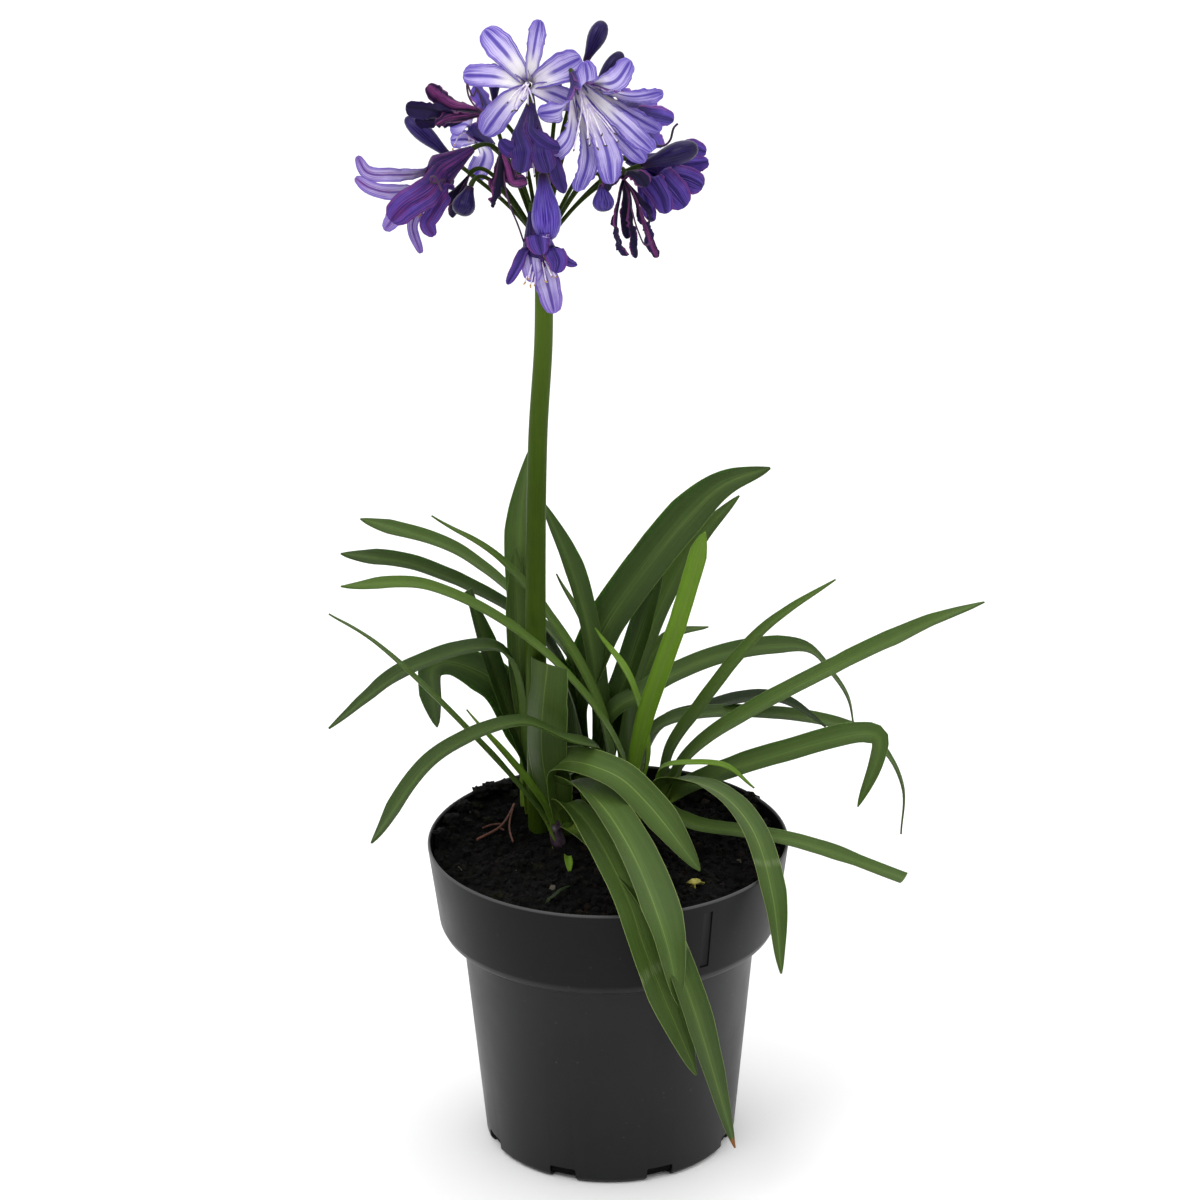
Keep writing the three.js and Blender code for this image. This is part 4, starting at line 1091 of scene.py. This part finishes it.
# each tepal: its points past the tube, its width, its turn, then the way its inner face looks
seen, hidden = (0, -0.93, 0.37), (0, 0.93, -0.37)
florets = {
    "floret_top": {"at": (-37, 20, 589), "toward": (0, -0.93, 0.35), "kind": "open", "tepals": [
        ([(-34, 13, 608), (-31, 17, 623.5)], 10, -25, None), ([(-48, 13, 607), (-59, 20, 618)], 15, 5, None),
        ([(-54, 10, 596), (-70, 14, 596)], 12.5, -5, None), ([(-48, 4, 583), (-60, 2, 568)], 14.5, 8, None),
        ([(-22, 10, 599), (-10, 15, 604)], 16, -5, None), ([(-26, 8, 588), (-13, 12, 581)], 12, 0, None)],
        "sacs": [(-47, -7, 587), (-43, -8, 583), (-40, -8, 588), (-37, -5, 585), (-34, -6, 586),
                 (-45, -2, 581)]},
    "floret_front": {"at": (-14, 8, 597), "toward": (0.3, -0.85, -0.42), "kind": "open", "tepals": [
        ([(-7, -17, 600), (-8, -25, 612)], 10.5, 0, None), ([(6, -8, 597), (15, -12, 609)], 13, 20, seen),
        ([(15, -10, 590), (31, -12, 593)], 13.5, 0, None), ([(16, -2, 578), (30, 2, 569)], 11.5, 0, None),
        ([(12, -12, 576), (26, -10, 562)], 13, -8, None), ([(9, -5, 568), (22, -2, 554)], 10, 0, None),
        ([(2, -14, 565), (5, -10, 545)], 14, 0, None), ([(-7, -10, 560), (-12, -6, 540)], 12.5, 0, None),
        ([(-17, -15, 570), (-29, -16, 559)], 10, -30, None),
        ([(-20, -14, 585), (-32, -15, 583)], 13, 0, None)],
        "sacs": [(-7, -20, 571), (-6, -20, 568), (-2, -20, 566), (2, -18, 567), (0, -20, 573), (7, -18, 573),
                 (8, -18, 569), (-14, -18, 565)]},
    "floret_right": {"at": (13, 30, 547), "toward": (0.9, 0.1, -0.3), "kind": "closed", "tepals": [
        ([(36, 36, 545), (46, 36, 550), (54, 34, 549)], 11, 0, hidden),
        ([(36, 30, 543), (47, 28, 544), (55, 26, 546)], 10, 0, hidden),
        ([(34, 24, 541), (45, 20, 538), (52, 18, 535)], 14, 0, hidden),
        ([(30, 18, 541), (38, 14, 532), (43, 13, 526)], 16, 0, hidden),
        ([(25, 16, 540), (31, 12, 531), (33, 11, 523)], 13, 0, hidden),
        ([(22, 20, 539), (23, 18, 527), (26, 17, 517)], 8, 0, hidden)],
        "sacs": [(50, 28, 536), (48, 24, 532), (52, 32, 540)],
        "curls": [[(20, 22, 548), (27, 20, 556), (32, 18, 557), (35, 17, 560), (37, 16, 567),
                   (39, 16, 569)]], "blush": 0.45},
    "floret_left": {"at": (-66, 8, 559), "toward": (-0.82, -0.22, -0.5), "kind": "closed", "tepals": [
        ([(-90, -2, 550), (-107, -4, 549), (-119, -6, 551), (-124, -4, 559)], 7.5, 0, seen),
        ([(-92, -6, 544), (-107, -8, 541), (-118, -9, 544), (-125, -8, 549)], 8, 0, seen),
        ([(-87, -14, 544), (-100, -18, 536), (-107, -19, 529)], 16, 0, None),
        ([(-93, -4, 538), (-103, -8, 531), (-111, -8, 521)], 10, 0, seen),
        ([(-90, 0, 535), (-97, -2, 522), (-93, -2, 507)], 6, 0, seen),
        ([(-79, -6, 541), (-86, -10, 530), (-89, -10, 525), (-86, -9, 518)], 9, 0, hidden)],
        "sacs": [(-93, -6, 528), (-91, -8, 529), (-89, -4, 525), (-87, -6, 524), (-109, -12, 531),
                 (-108, -14, 529)], "sacColour": "gold",
        "curls": [[(-80, -6, 547), (-86, -16, 548), (-86, -19, 552), (-84, -20, 552),
                   (-81, -20, 545)]], "blush": 0.75},
    "floret_behind": {"at": (-57, 50, 549), "toward": (-0.6, 0.6, 0.35), "kind": "open", "tepals": [
        ([(-70, 56, 559), (-79, 62, 556)], 11, 0, seen), ([(-71, 60, 550), (-79, 66, 548)], 10, 0, seen),
        ([(-61, 46, 545), (-67, 44, 533)], 12, 0, seen), ([(-62, 66, 568), (-64, 78, 576)], 12, 0, None),
        ([(-54, 70, 558), (-50, 84, 560)], 12, 0, None), ([(-60, 60, 566), (-66, 62, 578)], 12, 0, None)],
        "sacs": [(-77, 60, 547), (-69, 58, 550), (-78, 66, 543), (-76, 72, 556)], "sacColour": "gold"},
    "floret_rear": {"at": (10, 58, 560), "toward": (0.5, 0.8, 0.3), "kind": "open", "tepals": [
        ([(22, 72, 566), (28, 80, 566)], 12, 0, None), ([(27, 68, 560), (38, 72, 556)], 11, 0, None),
        ([(24, 74, 550), (30, 84, 538)], 12, 0, None), ([(16, 78, 546), (16, 90, 536)], 11, 0, None),
        ([(8, 78, 554), (2, 88, 550)], 12, 0, None), ([(12, 74, 566), (11, 82, 570)], 11, 0, None)],
        "sacs": [(26, 88, 556), (24, 90, 560), (20, 92, 552), (28, 84, 562), (26, 88, 550)]},
    "floret_centre": {"at": (-36, -1, 584), "toward": (-0.06, -0.7, -0.71), "kind": "closed", "tepals": [
        ([(-43, -24, 567), (-47, -25, 568), (-51, -24, 572)], 9, 0, hidden),
        ([(-40, -26, 566), (-41, -24, 555)], 12, 0, hidden),
        ([(-30, -26, 566), (-27, -24, 555)], 12, 0, hidden),
        ([(-25, -18, 560), (-22, -17, 550), (-19, -16, 542)], 8, 0, hidden),
        ([(-28, -24, 570), (-24, -24, 568), (-21, -22, 567)], 9, 0, hidden),
        ([(-35, -18, 565), (-34, -14, 555)], 12, 0, seen)],
        "sacs": [(-38, -22, 552), (-34, -22, 553)], "dark": 0.7},
    "floret_low": {"at": (-36, 2, 527), "toward": (0.16, -0.34, -0.9), "kind": "closed", "tepals": [
        ([(-33, -18, 520), (-31, -20, 511)], 13, 0, None),
        ([(-40, -12, 511), (-44, -12, 502), (-49, -12, 493)], 6, 0, hidden),
        ([(-22, -14, 510), (-18, -16, 506), (-13, -16, 504)], 5, 0, hidden),
        ([(-25, -17, 512), (-23, -19, 507), (-24, -19, 501)], 11, 0, hidden),
        ([(-32, -8, 503), (-28, -8, 490), (-25, -8, 476)], 13, 0, seen),
        ([(-37, -10, 508), (-36, -12, 500), (-35, -12, 494)], 11, 0, seen)],
        "sacs": [(-40, -14, 494), (-38, -16, 497), (-37, -16, 493), (-35, -14, 493), (-26, -19, 499),
                 (-24, -20, 499), (-29, -18, 496)], "sacColour": "gold"},
}
faded = {  # wilted florets: bent lines, each with its width
    "faded_left": {"at": (-58, 14, 576), "tepals": [
        ([(-68, 12, 580), (-74, 12, 581), (-82, 10, 586), (-88, 8, 592)], 9, 10, 1.0),
        ([(-71, 8, 578), (-79, 4, 579), (-89, 2, 582), (-99, 1, 583)], 11, 0, 0.1),
        ([(-69, 6, 577), (-77, 2, 577), (-84, 0, 574)], 7, 20, 0.8),
        ([(-72, 16, 573), (-84, 14, 573), (-95, 10, 574)], 9, 0, 0.2)],
        "curls": [[(-62, 8, 579), (-67, 8, 586), (-68, 9, 593), (-65, 9, 586), (-63, 9, 590),
                   (-60, 8, 581)]]},
    "faded_centre": {"at": (-51, 0, 559), "tepals": [
        ([(-51, -3, 552), (-52, -5, 542), (-56, -6, 532)], 9, 30, 0.2),
        ([(-48, -3, 553), (-45, -6, 545), (-38, -8, 546)], 8, -30, 1.0),
        ([(-52, 2, 552), (-54, 1, 543), (-53, -1, 536)], 8, 80, 0.3)],
        "curls": [[(-50, -3, 551), (-49, -5, 541), (-47, -6, 533), (-43, -5, 522), (-40, -4, 512)]]},
    "faded_right": {"at": (11, 2, 544), "tepals": [
        ([(9, -2, 537), (7, -6, 525), (8, -7, 514), (13, -6, 506)], 6, 40, 0.2),
        ([(14, -3, 537), (15, -6, 522), (17, -8, 505)], 5, 70, 0.1),
        ([(16, 0, 536), (22, -3, 521), (28, -4, 504)], 6, 10, 0.9),
        ([(12, 4, 536), (12, 2, 524), (13, 0, 513)], 6, 20, 0.2),
        ([(17, 3, 536), (24, 4, 524), (23, 4, 517)], 4, 50, 0.3),
        ([(14, -3, 549), (19, -5, 547), (23, -5, 542)], 9, 20, 0.1),
        ([(8, -3, 548), (4, -6, 545), (3, -6, 540)], 8, 0, 0.1)],
        "curls": [[(14, -4, 534), (18, -9, 520), (22, -9, 512), (25, -9, 514)]]},
    "faded_low": {"at": (-68, 12, 544), "tepals": [
        ([(-71, 13, 539), (-75, 14, 531), (-77, 14, 521)], 6, 30, 0.3),
        ([(-70, 15, 539), (-72, 17, 530), (-70, 18, 522)], 5, 60, 0.7),
        ([(-72, 10, 540), (-77, 8, 534), (-82, 8, 528)], 5, 0, 0.5)], "curls": []},
}


def tepalBlade(line, run, width, turn, radial, toward, traits, facing=None):
    shape, own = tepalShape, {**bladeTraits, "vee": tepalShape["vee"], "dark": 0.0, **traits}
    u = run / run[-1]
    level = np.tile(np.cross(unit(radial), unit(toward)), (len(u), 1))
    if facing is not None:  # past the tube the inner face turns to look this way
        share = np.clip((u - shape["turnFrom"]) / shape["turnOver"], 0, 1)[:, None]
        heading = np.gradient(line, axis=0) / np.gradient(run)[:, None]
        level = level * (1 - share) + np.cross(heading, facing) * share
    sides, uppers = bladeFrames(line, level, turn)
    half = width / 2 * mm * np.interp(u, shape["stations"], shape["widths"])
    phase = own["fresh"] * 40
    half *= 1 + shape["uneven"] * (np.sin(u * 17 + phase) + 0.6 * np.sin(u * 39 + 2 * phase)) * u
    bend = np.interp(u, *shape["bends"])
    if "spread" in own:  # round the tube the blade follows the tube's own curve
        snug = np.clip((shape["snugUntil"] - u) / shape["snugOver"], 0, 1)
        half = np.maximum(half, snug * own["spread"] * own["sector"] * shape["overlap"] * mm)
        tubeBend = np.clip(half / (own["spread"] * mm), 0.25, 1.2)
        bend = np.where(snug > 0, tubeBend * snug + bend * (1 - snug), bend)
    centre = line - uppers * (half * bend * 0.3)[:, None]
    frill = np.interp(u, *shape["frills"]) * own["frill"]
    deep = np.maximum(np.interp(u, *shape["deeps"]) * own["deep"], own["dark"])
    return {**own, "line": line, "half": half, "bend": bend, "along": u, "run": run, "frill": frill,
            "deep": deep, "side": sides, "upper": uppers, "centre": centre}


def floretBlades(floret):
    at, toward = asVector(floret["at"]), unit(floret["toward"])
    across = unit(np.cross(toward, (0.3, 0.2, 1.0)))
    above = np.cross(toward, across)
    count, tube = len(floret["tepals"]), tepalShape["tubes"][floret["kind"]]
    away = asVector([points[0] for points, *_ in floret["tepals"]]) - at
    angles = np.arctan2(away @ above, away @ across)
    order = np.argsort(angles)
    spots = np.empty(count)  # the tepals share the tube evenly, in the order they leave it
    spots[order] = np.arange(count) * math.tau / count
    spots += np.angle(np.mean(np.exp(1j * (angles - spots))))
    parts = []
    for index, (points, width, turn, facing) in enumerate(floret["tepals"]):
        radial = across * math.cos(spots[index]) + above * math.sin(spots[index])
        route = [at + toward * length + radial * reach for length, reach in tube] + list(points)
        line, run = smoothLine(route, tepalShape["step"], 16)
        offset = line / mm - at
        traits = {"fresh": index * 0.37, "deep": 0.0 if floret["kind"] == "open" else 0.75,
                  "spread": np.linalg.norm(offset - np.outer(offset @ toward, toward), axis=1),
                  "sector": math.tan(math.pi / count), "dark": floret.get("dark", 0.0),
                  "blush": floret.get("blush", 0.0)}
        parts.append(tepalBlade(line, run, width, turn, radial, toward, traits, facing))
    return parts


def wiltedBlades(floret):
    at = asVector(floret["at"])
    parts = []
    for index, (via, width, turn, blush) in enumerate(floret["tepals"]):
        line, run = smoothLine(np.vstack([at, via]), wiltShape["step"], 20)
        twist = turn + np.linspace(0, wiltShape["twist"] * (-1) ** index, len(line))
        away = asVector(via[-1]) - at
        level = np.cross(unit(away), up) + 0.01
        parts.append(tepalBlade(line, run, width, twist, away, np.cross(unit(away), unit(level)),
                                {"fresh": index * 0.41, "blush": blush, **wiltShape["traits"]}))
    return parts


def stamenLines(floret, seed):
    at, toward = asVector(floret["at"]), unit(floret["toward"])
    rng = np.random.default_rng(seed)
    lines, aims = [], []
    for sac in floret["sacs"]:
        tip = asVector(sac)
        start = at + toward * stamenShape["start"] + rng.normal(0, 0.5, 3)
        reach = toward * stamenShape["middle"]
        middle = at + reach + (tip - at - reach) * 0.2 + rng.normal(0, 0.6, 3)
        late = (middle + tip) / 2 + up + toward
        lines.append(smoothLine([start, middle, late, tip], stamenShape["step"])[0])
        aims.append(rng.normal(0, 1, 3) + np.array([0, -1.0, 0.2]))
    return lines, aims


def curlPiece(name, routes, half):
    lines = [smoothLine(route, curlShape["step"])[0] for route in routes]
    count = len(lines)
    return threadPiece(name + ".curls", lines, [half] * count, [curlShape["fresh"]] * count, darkThread,
                       sides=curlShape["sides"])


def makeFlorets():
    for number, (name, floret) in enumerate(florets.items()):
        kind = floret["kind"]
        bloom = growBlades(name + ".tepals", floretBlades(floret), tepalShape["tree"], tepalSkins[kind])
        finishPiece(bloom, kind + "_tepal", name)
        lines, aims = stamenLines(floret, stamenShape["seed"] + number)
        sac = goldSac if "sacColour" in floret else darkSac
        count = len(lines)
        stamens = threadPiece(name + ".stamens", lines, [stamenShape["half"]] * count, [0.5] * count,
                              filament, aims, sac, stamenShape["sides"])
        finishPiece(stamens, "open_tepal")
        if "curls" in floret:
            finishPiece(curlPiece(name, floret["curls"], curlShape["half"]), "faded_tepal")
    for name, floret in faded.items():
        wilt = growBlades(name + ".tepals", wiltedBlades(floret), wiltShape["tree"], tepalSkins["faded"])
        pieces = [wilt]
        if floret["curls"]:
            routes = [[floret["at"], *curl] for curl in floret["curls"]]
            pieces.append(curlPiece(name, routes, curlShape["wiltHalf"]))
        finishPiece(joinPieces(name + ".wilt", pieces), "faded_tepal", name)


budShape = {
    "profile": [(0, 0), (0.24, 0.004), (0.33, 0.02), (0.38, 0.08), (0.46, 0.18), (0.62, 0.3), (0.83, 0.44),
                (0.96, 0.56), (1, 0.66), (0.95, 0.77), (0.8, 0.87), (0.56, 0.95), (0.3, 0.985), (0, 1)],
    "sides": 36, "lobes": (3, 0.035),
}
buds = {  # each bud: its foot, the way it points, its length, its radius and how vivid it is
    "bud_top": ((-8, 30, 598), (0.42, 0.18, 0.9), 23, 4.9, 0.15),
    "bud_upper": ((-4, 20, 585), (0.6, 0.2, 0.78), 25, 4.4, 0.1),
    "bud_crown": ((-55, 36, 575), (0, 0.3, 0.95), 21, 3.7, 0.1),
    "bud_left": ((-77, 26, 549), (-0.74, 0.18, 0.64), 32, 4.8, 0.25),
    "bud_hanging": ((-67, 2, 541), (-0.35, -0.4, -0.9), 16, 6, 0.15),
    "bud_large": ((-30, -2, 549), (0.06, -0.28, -0.95), 35, 7.6, 1.0),
    "bud_round": ((0, -4, 543), (0.05, -0.3, -0.95), 14, 5.6, 0.5),
    "bud_right": ((20, 6, 550), (0.93, -0.12, 0.34), 31, 6, 0.1),
}


def makeBuds():
    for name, (at, toward, length, radius, vivid) in buds.items():
        profile = [(r * radius * mm, z * length * mm) for r, z in budShape["profile"]]
        points, faces = lathe(profile, budShape["sides"], *budShape["lobes"])
        placed = np.array(points) @ turnTo(unit(toward)).T + np.array(at) * mm
        piece = meshPiece(name + ".skin", placed, faces, [budSkin])
        setFloats(piece.data, "along", [p[2] / (length * mm) for p in points])
        setFloats(piece.data, "across", [abs(math.atan2(p[1], p[0])) for p in points])
        setFloats(piece.data, "fresh", [vivid] * len(points))
        finishPiece(piece, "bud", name)


bits = {
    # each sprig: the points it passes through, its width, its turn, what sets it apart, then where it stands
    "sprigs": [
        ([(-22, -9, 169), (-21.5, -14, 168), (-21, -20, 165)], 5, 20, {"fresh": 1.0, "blunt": 0.4},
         (-22, -6)),
        ([(-30, -60, 169), (-26, -54, 170), (-20.5, -40, 166)], 2.0, 0, {"fresh": 0.02}, (-33, -62)),
        ([(-26, 60, 182), (-22, 68, 184), (-18, 80, 172)], 9, 0, {"fresh": 0.5}, (-27, 54)),
        ([(-20, 44, 176), (-14, 30, 176), (-9, 17, 168)], 12, 0, {"fresh": 0.2}, (-22, 50)),
        ([(17, 46, 180), (18, 42, 190)], 5, 0, {"fresh": 0.9}, (17, 49)),
        ([(40, 80, 176), (43, 78, 186)], 5, 0, {"fresh": 0.85}, (39, 81))],
    "sprigTree": {"Sides": 16, "Thickness": 0.001, "Ruffle": 0.0, "Waves": 30.0},
    "fragment": ([(43, -43, 168), (46, -42, 168.5), (50, -40, 167)], 6.5, 0, {"blunt": 0.8}, (42.5, -43)),
    "fragmentTree": {"Sides": 16, "Thickness": 0.0014, "Ruffle": 0.0008, "Waves": 400.0},
    "sheath": [(0, 0), (3.6, 0), (4.1, 5), (3.7, 11), (3.3, 15.5), (2.9, 15.2), (2.7, 11), (0, 10.5)],
    "sheathSides": 40, "sheathLobes": (5, 0.05), "sheathFoot": (-26.5, 17.5, 160.5),
    "sheathLean": (-0.2, 0.1),
    # each clod: its place and its size
    "clods": [(-71, 61, 175.5, 5), (-65.5, 66, 176, 4.5), (-59, 69, 175.5, 5), (-50, 77, 174, 5),
              (-91, 9, 175, 4), (-86, 30, 173, 5), (-80, 46, 174, 5), (76, 44, 171, 7), (79, 52, 174, 5),
              (60, 66, 168, 5), (86, 30, 169, 4), (-70, -20, 165, 4)],
    "mossClods": [(-73, 55, 170, 3.6), (-54, 67, 171, 4), (-59.5, -48.5, 164, 3.6), (-66, 40, 168, 2.6),
                  (8, -20, 164, 2.6)],
    "clodGrain": 2.6, "clodRough": 0.62, "clodFlat": (1, 1, 0.6),
    # each run of the twig and its half width
    "twig": [([(-72, 17, 167), (-60, 29, 168.5), (-55, 43, 169), (-52, 57, 170)], 0.7),
             ([(-69, 30, 168), (-64, 34, 168), (-59, 35, 168)], 0.5),
             ([(-52, 57, 170), (-54, 39, 168.5), (-54, 27, 168), (-52, 14, 167)], 0.55),
             ([(-60, 29, 168.5), (-57, 27, 168)], 0.4)],
    "twigStep": 1.5, "twigSides": 7,
}


def makeClods(name, clods, material):
    points, faces = [], []
    for x, y, z, size in clods:
        work = bmesh.new()
        bmesh.ops.create_icosphere(work, subdivisions=3, radius=1.0)
        start = len(points)
        for corner in work.verts:
            lump = noise.fractal(corner.co * bits["clodGrain"] + Vector((x, y, z)), 0.9, 2.1, 5)
            rough = 1 + bits["clodRough"] * lump
            points.append([mm * (c + size * rough * s * f)
                           for c, s, f in zip((x, y, z), corner.co, bits["clodFlat"])])
        faces.extend(tuple(start + v.index for v in face.verts) for face in work.faces)
        work.free()
    piece = meshPiece(name, points, faces, [material])
    setFloats(piece.data, "tint", [soil["tint"]] * len(points))
    finishPiece(piece, "soil")


def makeBits():
    parts = [leafBlade(*sprig, sprig[1] / 2) for sprig in bits["sprigs"]]
    finishPiece(growBlades("soilSprigs", parts, bits["sprigTree"], leafGreen), "leaf")
    parts = [leafBlade(*bits["fragment"], bits["fragment"][1])]
    finishPiece(growBlades("soilFragment", parts, bits["fragmentTree"], strawPiece), "leaf")
    profile = [(r * mm, z * mm) for r, z in bits["sheath"]]
    points, faces = lathe(profile, bits["sheathSides"], *bits["sheathLobes"])
    points = np.array(points)
    points[:, :2] += points[:, 2:] * bits["sheathLean"]
    sheath = meshPiece("purpleSheath", points + np.array(bits["sheathFoot"]) * mm, faces, [purpleFoot])
    outward(sheath)
    finishPiece(sheath, "leaf")
    makeClods("soilClods", bits["clods"], crumb)
    makeClods("mossClods", bits["mossClods"], moss)
    runs, halves = zip(*bits["twig"])
    lines = [smoothLine(run, bits["twigStep"])[0] for run in runs]
    twig = threadPiece("soilTwig", lines, halves, [0.5] * len(lines), twigBark, sides=bits["twigSides"])
    finishPiece(twig, "soil")


# where each pedicel ends and the way it runs there, in the order the stem grows them
def pedicelEnds():
    ends = [(floret["at"], floret["toward"]) for floret in florets.values()]
    for floret in faded.values():
        at = asVector(floret["at"])
        ends.append((at, asVector(floret["tepals"][0][0][0]) - at))
    return ends + [(at, toward) for at, toward, *_ in buds.values()]


def makeFloor():
    sides, radius = studio["floorSides"], studio["floorRadius"]
    points = [(radius * math.cos(math.tau * k / sides), radius * math.sin(math.tau * k / sides), 0.0)
              for k in range(sides)]
    paint = plainMaterial("floorPaint", studio["floorColour"], studio["floorColour"], 2.0, 0.9, 0.0)
    meshPiece("studioFloor", points, [tuple(range(sides))], [paint])


placeCamera()
placeLights()
makePot()
print("pot made")
crowns = [(*shoot["place"], shoot["radius"]) for shoot in shoots.values()]
makeSoil(crowns + [(*stem["path"][0][:2], stem["footRadius"])])
print("soil made")
makeLeaves()
print("leaves made")
makeStem(pedicelEnds())
print("flower stem made")
makeFlorets()
makeBuds()
makeBits()
print("flowers made")
makeFloor()
